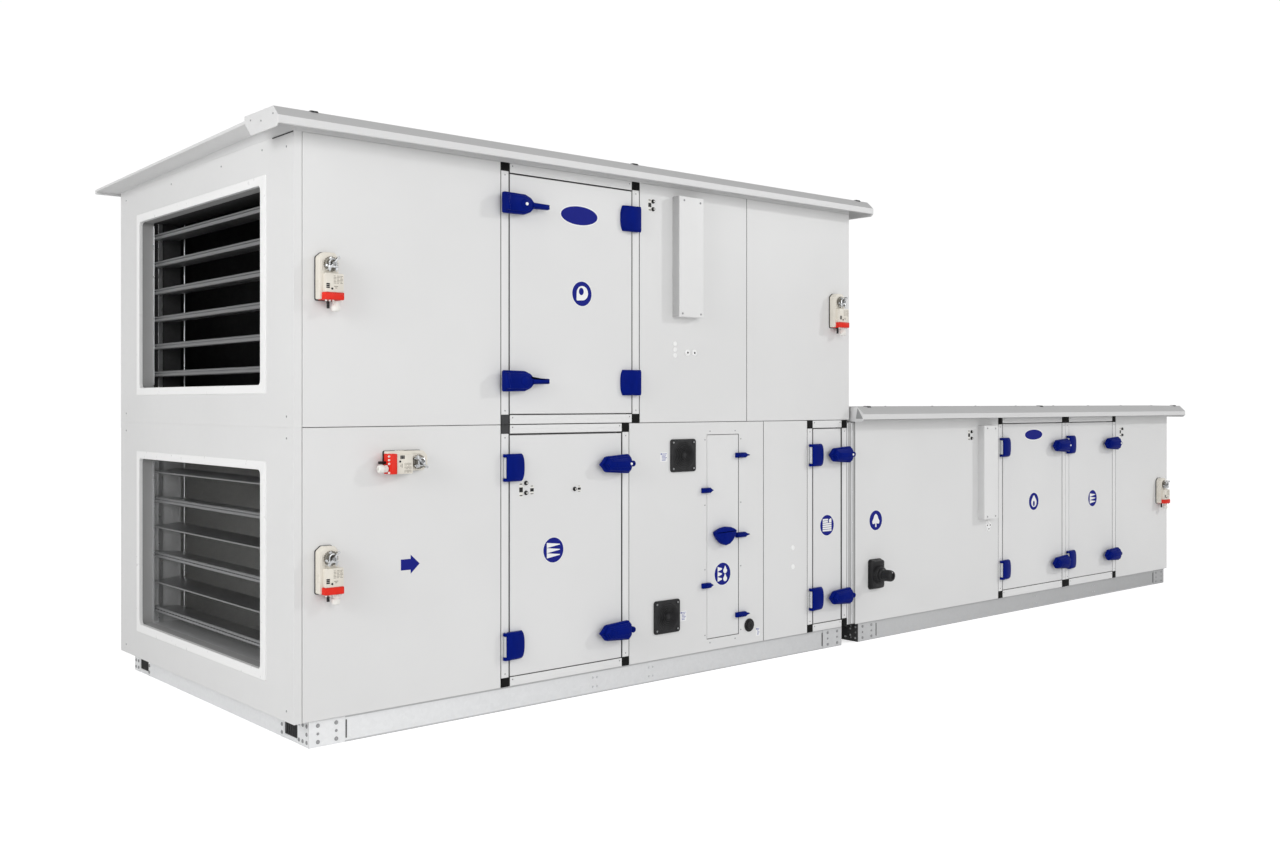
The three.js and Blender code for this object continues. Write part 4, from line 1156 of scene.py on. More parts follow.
def lever(door, z, end):
    """A paddle on the upper fan door, a ring lever on the others; top levers show a screw."""
    name = f"{door.name}_{end}_handle"
    paddle = door.name == "upper_fan"
    axis_x = handle_x(door) + door.lever_shift
    part = Part()

    def placed(points):
        out = [(axis_x + door.side * a, z + b) for a, b in points]
        return out if door.side > 0 else out[::-1]

    for outline, levels in PADDLE_LEVER if paddle else RING_LEVER:
        part.layers(placed(outline), levels)
    if not paddle:
        # round lug with a socket
        lug = 50 if door.name == "supply_fan" else 56
        levels = [(-44, 2.2), (-43.2, 0.8), (-41, 0), (-21, 0)]
        part.layers(placed(disc(lug, 0, 13.5, 26)), levels)
        socket = ((8.5, -43.6), (8.0, -46.5), (6.8, -47.2), (4.0, -47.2), (3.6, -44.2))
        part.rings([
            [(a, y, b) for a, b in placed(disc(lug, 0, radius, 24))] for radius, y in socket
        ])
    part.make(name, BLUE, "blue", name, replaces=(name,))
    if end == "top":
        screw = Part()
        if paddle:
            place, profile = -20, [(-52.0, 7.0), (-54.4, 6.6), (-55.2, 4.6), (-54.0, 3.0)]
        else:
            place, profile = 35, [(-52.5, 6.2), (-55.6, 5.8), (-56.4, 4.0), (-55.4, 2.6)]
        screw.turn("y", (axis_x + door.side * place, z), profile, 18)
        screw.make(f"{name}_screw", STEEL, "trim", name)


for door in DOORS:
    for z, end in zip(door.handle_z, ("bottom", "top")):
        lever(door, z, end)

# ------------------------------------------------------------------ service hatch
x0, x1, z0, z1 = HATCH
part = Part()
part.plate(x0, x1, z0, z1, 0, 40, (), 1.8)
part.slab(rect(x0 + 8, x1 - 8, z0 + 8, z1 - 8), 39, 45, 0, 2)
part.make("service_hatch_panel", PANEL, "door", "service_hatch", replaces=("service_hatch",))

GRIP_AT = (2182, 527)
GRIP = [
    (-70, 30), (-58, 40), (-34, 50), (0, 55), (34, 51), (58, 42), (69, 34),
    (63, 12), (46, -12), (24, -28), (0, -34), (-24, -28), (-46, -11), (-64, 12),
]
part = Part()
part.layers(
    rounded(offset(GRIP, *GRIP_AT), [3, 8, 12, 14, 12, 8, 3] + [12] * 7, 3),
    [(-33, 7), (-32.2, 4), (-30, 1.4), (-26, 0), (-12, 0.6), (-8, 4), (-0.2, 6)],
)
part.layers(offset(disc(-6, 10, 14, 24), *GRIP_AT), [(-34.2, 3.0), (-33.8, 1.2), (-31.5, 0)])
part.make("service_hatch_grip", BLUE, "blue", "service_hatch")
blue, white = Part(), Part()
sign(blue, white, 2183, 355, "droplet")
blue.make("service_hatch_decal_blue", BLUE, "ink", "service_hatch")
white.make("service_hatch_decal_white", WHITE, "white", "service_hatch")

# clips narrow towards +X: X stations from the pivot, then the end of the raised rib
LONG_CLIP = (-12, 48, 58, 74, 40)
SHORT_CLIP = (-55, -6, 2, 11, 0)
pins = Part()
for name, x, z, stations in (
    ("hatch_clip_right_top", 2279, 918, LONG_CLIP),
    ("hatch_clip_right_middle", 2279, 534, LONG_CLIP),
    ("hatch_clip_right_bottom", 2279, 150, LONG_CLIP),
    ("hatch_clip_left_top", 2097, 758, SHORT_CLIP),
    ("hatch_clip_left_bottom", 2097, 310, SHORT_CLIP),
):
    lower = list(zip(stations[:4], (-12, -12.5, -6, -3)))
    upper = [(a, -b) for a, b in reversed(lower)]
    outline = rounded(offset(lower + upper, x, z), [3, 5, 4, 2.5, 2.5, 4, 5, 3])
    part = Part()
    part.layers(outline, [(-20, 5), (-19, 2.6), (-16, 0.7), (-13, 0), (-3, 0), (-1, 0.8)])
    rib = rounded(rect(x - 6, x + stations[4], z - 4, z + 4), 3, 3)
    part.layers(rib, [(-21.2, 1.4), (-20.6, 0.3), (-19, 0)])
    part.make(name, BLUE, "blue", name, replaces=(name,))
    pins.turn("y", (x, z), [(-0.2, 4), (-1.2, 4)], 12)
pins.make("hatch_clip_pins", STEEL, "steel", "service_hatch")

# ------------------------------------------------------------------ isolator
ISOLATOR = (3328, 252)  # knob axis


def grip_ribs(part, count, radius, profile):
    for x, z in disc(*ISOLATOR, radius, count):
        part.turn("y", (x, z), profile, 8)


part = Part()
part.slab(rounded(rect(3272, 3385, 172, 333), 20, 7), -6, -0.2, 1.5)
levels = [(-28, 7), (-26.5, 3.4), (-22, 1.0), (-15, 0), (-5.5, 0)]
part.layers(rounded(rect(3276, 3381, 176, 329), 19, 7), levels)
profile = [(-26, 46), (-40, 45), (-47, 43), (-50, 39), (-50, 27), (-48, 26)]
part.turn("y", ISOLATOR, profile, 44)
grip_ribs(part, 24, 45, [(-27, 2.2), (-44, 2.0), (-45.5, 1.0)])
part.make("isolator_body", BLACK, "black", replaces=("isolator_body",))
part = Part()
profile = [
    (-50.5, 36), (-60, 36), (-63, 33), (-65, 28.5), (-112, 28.5), (-117, 26.5),
    (-119.6, 22), (-119.6, 15), (-114, 13.5), (-114, 0.5),
]
part.turn("y", ISOLATOR, profile, 40)
grip_ribs(part, 18, 28.2, [(-68, 1.7), (-110, 1.9), (-112.5, 1.0)])
part.make("isolator_knob", BLACK, "black", "isolator_knob", replaces=("isolator_knob",))
part = Part()
part.slab(rect(3326.2, 3329.8, 268, 273.5), -120.0, -119.2)
part.make("isolator_pointer", WHITE, "white", "isolator_knob")
part = Part()
for x in (3289, 3368):
    for z in (189, 316):
        part.screw("y", (x, z), -25.5, 4.5, 2.0)
part.make("isolator_screws", STEEL, "steel")


# ------------------------------------------------------------------ damper actuators
def actuator_housing(name, move):
    """Base, case, printed marks, terminal cover and cable gland; the shaft is at x = z = 0."""
    base = Part(move)
    outline = [(-44.6, -134), (36, -134), (36, 24), (21, 44.4), (-23.5, 44.4), (-44.6, 27)]
    base.slab(rounded(outline, 8), -5, -0.2, 0.8)
    for z in (-88, -81.5, -75):
        base.slab(round_rect(-27, -13.5, z - 2.5, z + 2.5, 0.8, 2), -60.9, -58, 0.4)
    base.turn("y", (-4, -92), [(-59, 4.2), (-62.0, 3.8), (-62.8, 2.4)], 16)
    base.rod("z", (0, -20), 5.5, -162, -130, 14, 1.0)
    base.make(name + "_base", BLACK, "black")

    case = Part(move)
    outline = [(-43, -130), (34, -130), (34, 22), (20, 43), (-23, 43), (-43, 26)]
    levels = [(-38, 3.4), (-37, 1.4), (-34.5, 0), (-4.8, 0)]
    case.layers(rounded(outline, [5, 5, 14, 14, 14, 14], 5), levels)
    outline = rounded(rect(-29, 43.5, -105.5, -35), [3, 3, 6, 6])
    case.layers(outline, [(-60, 2.6), (-59.2, 1.0), (-57, 0), (-36, 0)])
    # side ribs and a raised lug by the shaft
    for z in (-60, -72, -84):
        case.slab(rect(-44.6, -42, z - 2.2, z + 2.2), -32, -10, 0.6)
    case.slab(round_rect(-36, -31, -24, 14, 2, 2), -39.4, -37, 0.8)
    case.make(name + "_case", HOUSING, "beige", replaces=(name,))

    marks = Part(move)
    for row in range(6):
        for column in range(3):
            x = 2 + column * 13.2
            z = -44 - row * 5.2
            width = 10.5 if (row + column) % 3 else 7.5
            marks.slab(rect(x, x + width, z - 1.9, z), -60.35, -59.5)
    marks.slab(rect(4, 20, -84.5, -82), -60.35, -59.5)
    marks.slab(rect(8, 16, -90, -87.5), -60.35, -59.5)
    marks.make(name + "_panel_marks", HOUSING, "mark")

    cover = Part(move)
    outline = rounded(rect(-34, 44, -132, -105), [4, 4, 3, 3])
    cover.layers(outline, [(-64, 3.0), (-63, 1.2), (-60.5, 0), (-8, 0)])
    cover.make(name + "_terminal_cover", "orange_plastic", "orange")

    gland = Part(move)
    for x in (-24, -10, 4, 38):
        gland.rod("z", (x, -52), 4.2, -138, -131, 12, 1.0)
    gland.turn("z", (23, -36), [(-135, 14.5), (-143, 14.5), (-144, 13.8)], 6, phase=0.3)
    profile = [
        (-143.5, 12.6), (-150, 12.6), (-150.5, 15.0), (-155, 16.0), (-165, 16.0),
        (-170, 14.0), (-173, 9.5), (-173, 5.2), (-168, 5.0),
    ]
    gland.turn("z", (23, -36), profile, 28)
    gland.make(name + "_cable_gland", WHITE, "cream")


def actuator_clamp(name, shaft, move):
    """Hub, saddle, U-bolt and pointer, which turn with the shaft."""
    part = Part(move)
    hub = []
    for i in range(40):
        angle = 2 * math.pi * i / 40
        radius = 28.05 if i % 2 else 24.86
        hub.append((radius * math.cos(angle), radius * math.sin(angle)))
    part.slab(hub, -48, -38.6, 0.8)
    profile = [(-47.5, 18.5), (-52, 18), (-53, 16.5), (-53, 8.5), (-47, 8.4)]
    part.turn("y", (0, 0), profile, 30)
    part.make(name + "_clamp_hub", STEEL, "clamp", shaft)

    part = Part(move)
    bend = [(-14, -20), (-14, -5)] + arc(0, 3, 14, 180, 0, 9) + [(14, -5), (14, -20)]
    tube(part, [(x, -60, z) for x, z in bend], 3.0, 8)
    # toothed saddle, nuts and the two stud ends
    teeth = [(14 - 4 * k, -6.5 if k % 2 else -9) for k in range(8)]
    part.slab([(-21, -15), (21, -15), (21, -9)] + teeth + [(-21, -9)], -65, -52, 0.6)
    for x in (-14, 14):
        part.turn("z", (x, -60), [(-23, 6.0), (-16.0, 6.0), (-15, 5.2)], 6)
        part.rod("z", (x, -60), 2.8, -29, -21, 8, 0.5)
    # slanted pointer bar on two posts
    cos, sin = math.cos(math.radians(48)), math.sin(math.radians(48))
    bar = [(a * cos - b * sin, a * sin + b * cos) for a, b in rect(-33, 35, -3.4, 3.4)]
    part.slab(rounded(bar, 1.5, 2), -69, -66.2, 0.5)
    for along in (-30, 31):
        part.turn("y", (along * cos, along * sin), [(-47, 3.6), (-71, 3.6), (-71.8, 2.6)], 10)
    for degrees in (100, 200, 330):
        angle = math.radians(degrees)
        part.bolt("y", (21 * math.cos(angle), 21 * math.sin(angle)), -48, -1, 4.4, 5.0)
    part.make(name + "_shaft_clamp", STEEL, "steel", shaft)


for name, shaft in (
    ("exhaust", "exhaust_blade_4"),
    ("intake", "intake_blade_4"),
    ("recirculation", "recirculation_blade"),
    ("return", "return_air_blade"),
    ("supply", "supply_outlet_blade"),
):
    shaft_x, shaft_z = SHAFTS[name]
    if name == "recirculation":
        # a quarter turn, so that the actuator lies along X
        def move(x, y, z):
            return (shaft_x + z, y, shaft_z - x)
    else:
        def move(x, y, z):
            return (shaft_x + x, y, shaft_z + z)
    actuator_housing(f"{name}_damper_actuator", move)
    actuator_clamp(f"{name}_damper_actuator", shaft, move)


# ------------------------------------------------------------------ end wall at low X
def ring_x(part, levels):
    """Closed ring of YZ outlines; levels are (x, outline)."""
    part.rings([[(x, y, z) for y, z in points] for x, points in levels], loop=True)


part, strips = Part(), Part()
LOUVRE_Y0, LOUVRE_Y1 = LOUVRE_Y
for z0, outer_z0, outer_z1 in ((EXHAUST_Z0, 1205, 2031), (INTAKE_Z0, 122, 949)):
    z1 = z0 + LOUVRE_H
    outer = round_rect(235, 1610, outer_z0, outer_z1, 4, 6)
    inner = round_rect(LOUVRE_Y0 + 1.5, LOUVRE_Y1 - 1.5, z0 + 1.5, z1 - 1.5, 20, 6)
    ring_x(part, [
        (0.3, outer), (-2.4, outer), (-3.6, inset(outer, 1.4)), (-4.0, inset(inner, -5)),
        (-3.4, inset(inner, -1.6)), (-1.6, inset(inner, -0.2)), (1.0, inner), (13, inner),
        (13, inset(inner, -1.3)),
    ])
    # bright side seals beyond the blade ends, folded lips of the damper frame and a rod
    for y in (LOUVRE_Y0 + 0.6, LOUVRE_Y1 - 3.2):
        strips.box(84, 104, y, y + 2.6, z0 + 1, z1 - 1, 0.5)
    for y0, y1 in ((LOUVRE_Y0 + 0.2, LOUVRE_Y0 + 14), (LOUVRE_Y1 - 14, LOUVRE_Y1 - 0.2)):
        strips.box(60.4, 62.8, y0, y1, z0 + 14.5, z1 - 14.5, 0.5)
    strips.rod("z", (198, 1556), 3, z0 - 20, z1 + 20, 12)
part.make("opening_trims", WHITE, "trim")
strips.make("damper_frame_strips", "damper_aluminium", "steel")

part = Part()
for place in (
    (1755, 2117), (269, 2128), (653, 2120), (1191, 2120), (1755, 1120), (1755, 1040),
    (1755, 40), (60, 1120), (60, 1040), (60, 40), (60, 2110),
):
    part.screw("x", place, 0, 4.0, 1.8)
part.make("end_wall_screws", STEEL, "dull")

# ------------------------------------------------------------------ base frames
BASE_FRONT, BASE_REAR = 12, 1818
BASE_Z = (-99, -1.5)
PLATE = 2.4  # thickness of a corner plate
long_plates, short_plates, bolts, liners, slots = Part(), Part(), Part(), Part(), Part()
# each corner: X of its outer end, X of its inner end, side the outer end faces
for plates, outer, inner, side in (
    (long_plates, 65, 210, -1),
    (long_plates, 3065, 2920, 1),
    (short_plates, 3205, 3350, -1),
    (short_plates, 6560, 6415, 1),
):
    for y, facing in ((BASE_FRONT, -1), (BASE_REAR, 1)):
        face = y + PLATE * facing
        span_x = sorted((outer + PLATE * side, inner))
        plates.box(*span_x, *sorted((y - 0.5 * facing, face)), *BASE_Z, 0.6)
        for x in (outer - 34 * side, outer - 108 * side):
            for z in (-20, -50, -80):
                bolts.bolt("y", (x, z), face, facing, 5.8 if z != -50 else 4.0, 3.4)
        # slot beside the plate
        x = inner - 5 * side
        slots.box(x - 2.0, x + 2.0, *sorted((y - 0.4 * facing, y + 2.0 * facing)), -84, -16, 0.4)
    face = outer + PLATE * side
    for y0, y1 in ((10, 102), (218, 246), (1616, 1642), (1755, 1820)):
        plates.box(*sorted((face, outer - 0.5 * side)), y0, y1, *BASE_Z, 0.6)
    for y in (26, 58, 88, 232, 1630, 1770, 1804):
        for z in (-20, -80) if y in (58, 88) else (-20, -50, -80):
            bolts.bolt("x", (y, z), face, side, 5.6, 3.4)
    # pressed black liners of the lifting sockets, with upright ribs
    liner_x = sorted((outer - 2 * side, outer - 8 * side))
    rib_x = sorted((outer - 0.4 * side, outer - 2.6 * side))
    for y0, y1 in ((105, 215), (1645, 1752)):
        liners.box(*liner_x, y0 + 0.6, y1 - 0.6, -81.4, -16.6, 0.8)
        for k in range(6):
            liners.box(*rib_x, y0 + 8 + k * 16, y0 + 13 + k * 16, -76, -22, 0.6)
long_plates.make("base_corner_plates_long", STEEL, "base_long_painted_falloff")
short_plates.make("base_corner_plates_short", STEEL, "base_short_painted_falloff")
bolts.make("base_bolts", STEEL, "dull")
liners.make("lifting_socket_liners", BLACK, "black")
slots.make("base_slots", RUBBER, "rubber")

# black end plate of the single-deck base, in the gap between the sections
part, bolts = Part(), Part()
part.box(3200.6, 3202.6, 12, 150, *BASE_Z, 0.5)
for y, low, high in ((28, -80, -22), (62, -68, -34), (96, -80, -22), (130, -68, -34)):
    for z in (high, low):
        bolts.bolt("x", (y, z), 3200.6, -1, 4.6, 2.6)
part.make("base_joint_plate", BLACK, "plate_dark")
bolts.make("base_joint_bolts", STEEL, "steel")

# shallow lips along the top and bottom of the front base beams, and small fixings
part = Part()
for x0, x1 in ((205, 2938), (3360, 6420)):
    for z0, z1 in ((-8, -1), (-99, -93)):
        part.box(x0, x1, 10.6, 12.4, z0, z1, 0.6)
part.make("base_beam_lips", STEEL, "zinc")
part = Part()
for x in (1400, 1424, 1726, 1750, 4900, 4924, 5600, 5624):
    for z in (-30, -70):
        part.bolt("y", (x, z), BASE_FRONT, -1, 3.4, 2.2)
part.make("base_beam_fixings", STEEL, "steel")

# ------------------------------------------------------------------ section joint
# name, slot, finish, z0, z1, ease and strips of x0, x1, y0, y1
JOINT_STRIPS = (
    ("joint_clamp_strips", STEEL, "joint", 6, 1062, 0.8,
     [(3103, 3112, 2.0, 9.0), (3138, 3146, 1.5, 8.5), (3172, 3181, 2.0, 9.0)]),
    # the cover strips and the gasket take the grey flank finish: painted shade of the recessed
    # joint
    ("joint_cover_strips", STEEL, "side", 6, 1062, 0.8,
     [(3115, 3136, 4.5, 8.5), (3148, 3170, 4.5, 8.5)]),
    ("joint_gasket", RUBBER, "side", 10, 1058, 0.6,
     [(3111.5, 3116.5, 9.0, 11.5), (3167.5, 3172.5, 9.0, 11.5)]),
)
for name, slot, finish, z0, z1, ease, rows in JOINT_STRIPS:
    part = Part()
    for row in rows:
        part.box(*row, z0, z1, ease)
    part.make(name, slot, finish)
part = Part()
for z in range(60, 1060, 160):
    part.bolt("y", (3142, z), 1.5, -1, 3.0, 1.2)
part.make("joint_bolts", STEEL, "joint")

# ------------------------------------------------------------------ roofs
# heights are drawn for the two-deck roof: x0, x1, rise from there, bays between the seams
ROOFS = ((-98, 3219, 0, 3), (3137, 6700, -DECK, 4))
part, clips = Part(), Part()
for x0, x1, rise, bays in ROOFS:
    for y, z in ((-40, 2200), (60, 2190), (150, 2206)):
        part.screw("x", (y, z + rise), x0, 3.6, 1.6)
    # rows along the front and rear edges of the falling sheet
    count = int((x1 - x0) / 420)
    front = [(2229.0 + rise, 6), (2231.2 + rise, 5.6), (2232.4 + rise, 3.4)]
    rear = [(2174.0 + rise, 6), (2176.6 + rise, 5.6), (2177.8 + rise, 3.4)]
    for i in range(count + 1):
        x = x0 + 40 + (x1 - x0 - 80) * i / count
        part.turn("z", (x, 150), front, 10)
        part.turn("z", (x, 1840), rear, 10)
CLIP = [(-44, 2225), (-38, 2229.5), (-14, 2230.5), (-14, 2233), (-40, 2232.4), (-47, 2227)]
for places, rise in (((60, 1600, 3140), 0), ((3230, 4900, 6620), -DECK)):
    for x in places:
        clips.prism("x", rounded(offset(CLIP, 0, rise), 0.8, 2), x - 14, x + 14, 0.8)
part.make("roof_screws", STEEL, "dull")
clips.make("ridge_clips", BLACK, "cap_grey")
part = Part()
fold = [(-76, 2166 - DECK), (-30, 2166 - DECK), (-40, 2222 - DECK)]
part.prism("x", fold, 3136.2, 3137.2)
part.make("roof_fold_shadow_gap", RUBBER, "dull")
# thin dark strip along the top of the end wall by the front corner: a painted shadow line under
# the eaves
part = Part()
part.box(-1.6, 0.6, 4, 178, 2155.5, 2159.4, 0.3)
part.make("eaves_painted_shadow_strip", RUBBER, "rubber")

# standing seams across the falling sheet: x and z from the sheet
SEAM = [(-14, -1), (-12, 3), (-3, 4), (-2, 13), (2, 13), (3, 4), (12, 3), (14, -1)]
part = Part()
for x0, x1, rise, bays in ROOFS:
    for i in range(1, bays):
        x = x0 + (x1 - x0) * i / bays
        part.rings([
            [(x + a, y, z + b + rise) for a, b in SEAM]
            for y, z in ((207, 2214.0), (1874, 2173.6))
        ])
# the seams take the slope's painted shade
part.make("roof_seams", "roof_sheet", "roof_top_painted_shade")

# ------------------------------------------------------------------ rear skins, duct flanges
# foot of each deck and its panels: x0, x1
REAR_DECKS = (
    (0, [(2, 905), (909, 1597), (1601, 2465), (2469, 3115)]),
    (DECK, [(2, 905), (909, 1659), (1663, 2347), (2351, 3115)]),
    (0, [(B0 + 2, 4495), (4499, 5247), (5251, 5875), (5879, B1 - 2)]),
)
skins, screws = Part(), Part()
for foot, spans in REAR_DECKS:
    z0, z1 = foot + 2, foot + DECK - 2
    for x0, x1 in spans:
        levels = [(DEPTH - 0.5, 0), (DEPTH + 1.2, 0), (DEPTH + 2.0, 0.9)]
        skins.layers(rect(x0, x1, z0, z1), levels)
        middle = ((x0 + x1) / 2, (z0 + z1) / 2)
        for x in (x0 + 14, middle[0], x1 - 14):
            for z in (z0 + 14, middle[1], z1 - 14):
                if (x, z) != middle:
                    profile = [(DEPTH + 1.5, 4), (DEPTH + 3.4, 4), (DEPTH + 4.0, 2.6)]
                    screws.turn("y", (x, z), profile, 10)
skins.make("rear_panel_skins", PANEL, "panel")
screws.make("rear_screws", STEEL, "dull")

# flanges round the return inlet and the supply outlet
part = Part()
for x, z, half in ((LEN_A, SHAFTS["return"][1], 120), (B1, SHAFTS["supply"][1], 116)):
    outer = round_rect(LOUVRE_Y0 - 32, LOUVRE_Y1 + 32, z - half - 32, z + half + 32, 4)
    inner = round_rect(LOUVRE_Y0 + 0.5, LOUVRE_Y1 - 0.5, z - half + 0.5, z + half - 0.5, 3)
    ring_x(part, [
        (x - 0.4, outer), (x + 2.0, outer), (x + 2.6, inset(outer, 0.7)),
        (x + 2.6, inset(inner, -4)), (x + 24, inset(inner, -3)), (x + 24, inner),
        (x - 6, inner), (x - 6, inset(inner, -1.0)),
    ])
part.make("duct_flanges", STEEL, "steel")

# ------------------------------------------------------------------ inside: bag filter
POCKETS_Y = [140 + k * 154 for k in range(11)]
STITCH = 157  # pitch of the stitched channels
part = Part()
for y in POCKETS_Y:
    rings = []
    for t in (0, 0.04, 0.12, 0.3, 0.5, 0.7, 0.86, 0.95, 1.0):
        half = 60 * (1 - t**1.5) * (1 + 0.10 * math.sin(math.pi * min(1, t * 3))) + 9
        outline = round_rect(y - half, y + half, 66 + 8 * t, 1012 - 8 * t, min(half * 0.75, 24))
        ring = []
        for side, z in outline:
            # stitched channels pull the pocket in at even heights
            channel = 0.5 + 0.5 * math.cos(2 * math.pi * (z - 66) / STITCH)
            pull = 1 - 0.20 * channel**6 * math.sin(math.pi * min(1.0, t + 0.05))
            ring.append((1034 + t * 440, y + (side - y) * pull, z))
        rings.append(ring)
    part.rings(rings)
part.make("bag_filter_pockets", FIBRE, "fibre", replaces=("bag_filter",), angle=60)
part = Part()
part.box(1008, 1036, 56, 74, 46, 1032, 1)
part.box(1008, 1036, 1766, 1784, 46, 1032, 1)
for z0, z1 in ((46, 66), (1012, 1032)):
    part.box(1008, 1036, 74, 1766, z0, z1, 1)
for pocket in POCKETS_Y[1:]:
    y = pocket - 77
    part.box(1012, 1032, y - 9, y + 9, 66, 1012, 1)
part.make("bag_filter_frame", STEEL, "steel")
part = Part()
for y in POCKETS_Y:
    for k in range(1, 6):
        path = [
            (1060 + t * 380, y - (56 * (1 - t**1.5) + 10), 66 + k * STITCH)
            for t in (0, 0.25, 0.5, 0.75, 1)
        ]
        tube(part, path, 2.2, 6)
part.make("bag_filter_seams", FIBRE, "cream")


# ------------------------------------------------------------------ inside: coils
def coil(name, x0, x1, header_x, rows, replaces=()):
    """Fin block in a sheet casing, with tube bends and headers on the service side."""
    block = Part()
    block.box(x0 + 14, x1 - 14, 150, 1730, 92, 978, 1)
    block.make(name + "_fin_block", COIL, "fins", replaces=replaces)
    frame = Part()
    for z0, z1 in ((46, 92), (978, 1024)):
        frame.box(x0, x1, 112, 1768, z0, z1, 1.5)
    for y0, y1 in ((112, 150), (1730, 1768)):
        frame.box(x0, x1, y0, y1, 92.3, 977.7, 1.5)
    frame.make(name + "_casing", STEEL, "steel")
    tubes = Part()
    angles = [math.radians(a) for a in range(20, 161, 28)]
    for row in range(rows):
        x = x0 + 40 + row * (x1 - x0 - 80) / (rows - 1)
        for i in range(13):
            z = 130 + i * 64
            bend = [(x, 113 - 20 * math.sin(a), z + 16 - 16 * math.cos(a)) for a in angles]
            tube(tubes, [(x, 113, z)] + bend + [(x, 113, z + 32)], 6.5, 8)
    for x in header_x:
        profile = [(120, 2), (121, 18), (128, 22), (952, 22), (959, 18), (960, 2)]
        tubes.turn("z", (x, 76), profile, 20)
        tubes.rod("y", (x, 540), 17, 56, 77, 18, 2)
    tubes.make(name + "_tubes", COIL, "copper")


coil("cooling_coil", 1770, 1990, (1924, 1823), 4, ("cooling_coil",))
coil("heating_coil", 2865, 2975, (2882, 2958), 2)

# ------------------------------------------------------------------ inside: droplet eliminator
part = Part()
for i in range(26):
    y = 130 + i * 62
    zigzag = [(2110, y), (2135, y + 26), (2160, y), (2185, y + 26), (2210, y)]
    section = zigzag + [(x, side + 3.0) for x, side in reversed(zigzag)]
    part.prism("z", section, 70, 1000)
part.make("droplet_eliminator_vanes", WHITE, "cream")
part = Part()
for z0, z1 in ((46, 70), (1000, 1024)):
    part.box(2100, 2220, 112, 1768, z0, z1, 1.5)
for y0, y1 in ((112, 126), (1748, 1768)):
    part.box(2100, 2220, y0, y1, 70.3, 999.7, 1.5)
part.make("droplet_eliminator_frame", STEEL, "steel")

# ------------------------------------------------------------------ inside: fine filter
CELLS_Y = [70 + k * 428 for k in range(4)]
part = Part()
for y in CELLS_Y:
    for z0, z1 in ((62, 530), (548, 1016)):
        part.box(5384, 5404, y + 2, y + 420, z0, z0 + 16, 1.5)
        part.box(5384, 5404, y + 2, y + 420, z1 - 16, z1, 1.5)
        part.box(5384, 5404, y + 2, y + 18, z0 + 16.3, z1 - 16.3, 1.5)
        part.box(5384, 5404, y + 404, y + 420, z0 + 16.3, z1 - 16.3, 1.5)
part.make("fine_filter_frames", BLACK, "black")
# pairs of packs that close to a V towards +X
part = Part()
for cell in CELLS_Y:
    for z0, z1 in ((80, 512), (566, 998)):
        for k in range(4):
            y0 = cell + 20 + k * 95
            y1 = y0 + 90
            tip = (y0 + y1) / 2
            for section in (
                [(5390, y0), (5390, y0 + 16), (5640, tip - 2), (5640, tip - 16)],
                [(5390, y1 - 16), (5390, y1), (5640, tip + 16), (5640, tip + 2)],
            ):
                part.prism("z", section, z0, z1)
part.make("fine_filter_packs", FIBRE, "fibre")

# ------------------------------------------------------------------ floor
FLOOR_HALF = 60  # metres
FLOOR_GLOW = 0.60  # emission seen by the camera only
floor_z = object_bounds()[0].z - 0.0005
mesh = bpy.data.meshes.new("floor")
corners = rect(-FLOOR_HALF, FLOOR_HALF, -FLOOR_HALF, FLOOR_HALF)
mesh.from_pydata([(x, y, floor_z) for x, y in corners], [], [(0, 1, 2, 3)])
floor = bpy.data.objects.new("floor", mesh)
scene = bpy.context.scene
scene.collection.objects.link(floor)
shader = Shader("pale_floor")
shader.look(shader.tones(shader.noise(scale=0.6), grey(1.0), 0.90, 0.93), rough=0.9)
camera_ray = shader.node("LightPath").outputs["Is Camera Ray"]
for key, value in (
    ("Specular IOR Level", 0.0),
    ("Emission Color", (1, 1, 1, 1)),
    ("Emission Strength", shader.ramp(camera_ray, 0.0, FLOOR_GLOW, start=0, end=1)),
):
    shader.feed(shader.surface, key, value)
mesh.materials.append(shader.material)

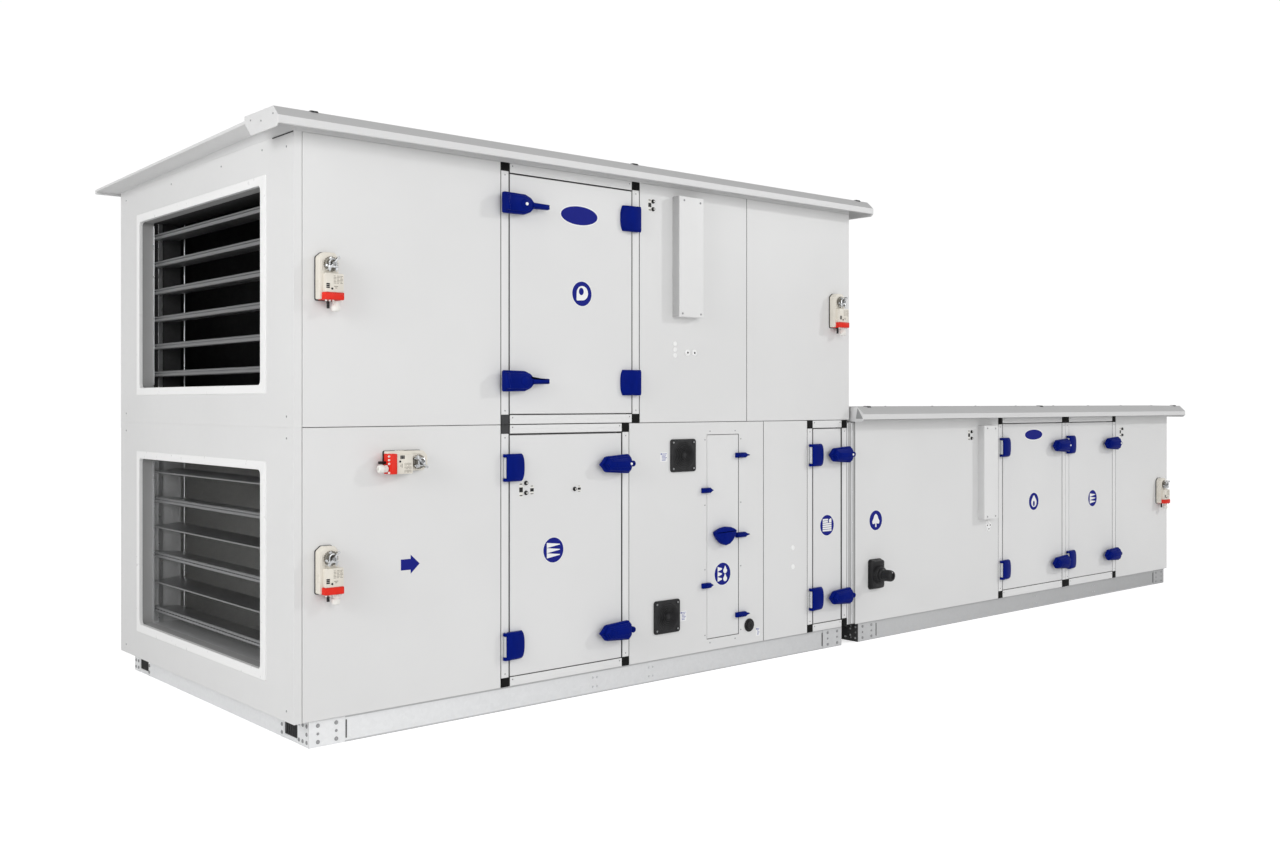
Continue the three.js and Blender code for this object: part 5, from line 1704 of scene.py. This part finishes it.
# ------------------------------------------------------------------ world
SKY = 0.50  # light from the world
BACKDROP = 1.02  # brightness the camera sees
scene.view_settings.view_transform = "Standard"
scene.view_settings.look = "None"
scene.view_settings.exposure = 0.0
world = bpy.data.worlds.new("studio")
scene.world = world
world.use_nodes = True
tree = world.node_tree
tree.nodes.clear()
output = tree.nodes.new("ShaderNodeOutputWorld")
light_path = tree.nodes.new("ShaderNodeLightPath")
backgrounds = []
for strength in (SKY, BACKDROP):
    background = tree.nodes.new("ShaderNodeBackground")
    background.inputs["Color"].default_value = (1.0, 1.0, 1.0, 1)
    background.inputs["Strength"].default_value = strength
    backgrounds.append(background)
mix = tree.nodes.new("ShaderNodeMixShader")
tree.links.new(light_path.outputs["Is Camera Ray"], mix.inputs[0])
for i, background in enumerate(backgrounds):
    tree.links.new(background.outputs[0], mix.inputs[i + 1])
tree.links.new(mix.outputs[0], output.inputs[0])


# ------------------------------------------------------------------ lights and camera
def casing_point(x, y, z):
    return Vector((ORIGIN.x + x / 1000, ORIGIN.y + y / 1000, ORIGIN.z + z / 1000))


def area_light(name, place, target, size, power):
    """size in metres, power in watts"""
    light = bpy.data.lights.new(name, "AREA")
    light.shape = "RECTANGLE"
    light.size, light.size_y = size
    light.energy = power
    obj = bpy.data.objects.new(name, light)
    scene.collection.objects.link(obj)
    obj.location = casing_point(*place)
    aim = casing_point(*target) - casing_point(*place)
    obj.rotation_euler = aim.to_track_quat("-Z", "Y").to_euler()


# small hard key beyond the high X end, broad soft box in front, fill from the low X end
area_light("key", place=(14976, -8395, 7325), target=(5400, 0, 600), size=(0.70, 0.70), power=535)
area_light("front_soft", place=(900, -7500, 3800), target=(1500, 0, 1100), size=(6, 4), power=150)
area_light("left_fill", place=(-6500, -1500, 3500), target=(0, 900, 900), size=(4, 3), power=235)

camera = bpy.data.cameras.new("camera")
camera_object = bpy.data.objects.new("camera", camera)
scene.collection.objects.link(camera_object)
camera_object.location = casing_point(-2037.7, -4266.4, 1172.3)
camera_object.rotation_euler = (math.radians(90), 0, math.radians(-40.935))
camera.sensor_fit = "HORIZONTAL"
camera.sensor_width = 36
camera.lens = 35.3295
camera.shift_y = -0.0185
camera.clip_start, camera.clip_end = 0.05, 200
scene.camera = camera_object
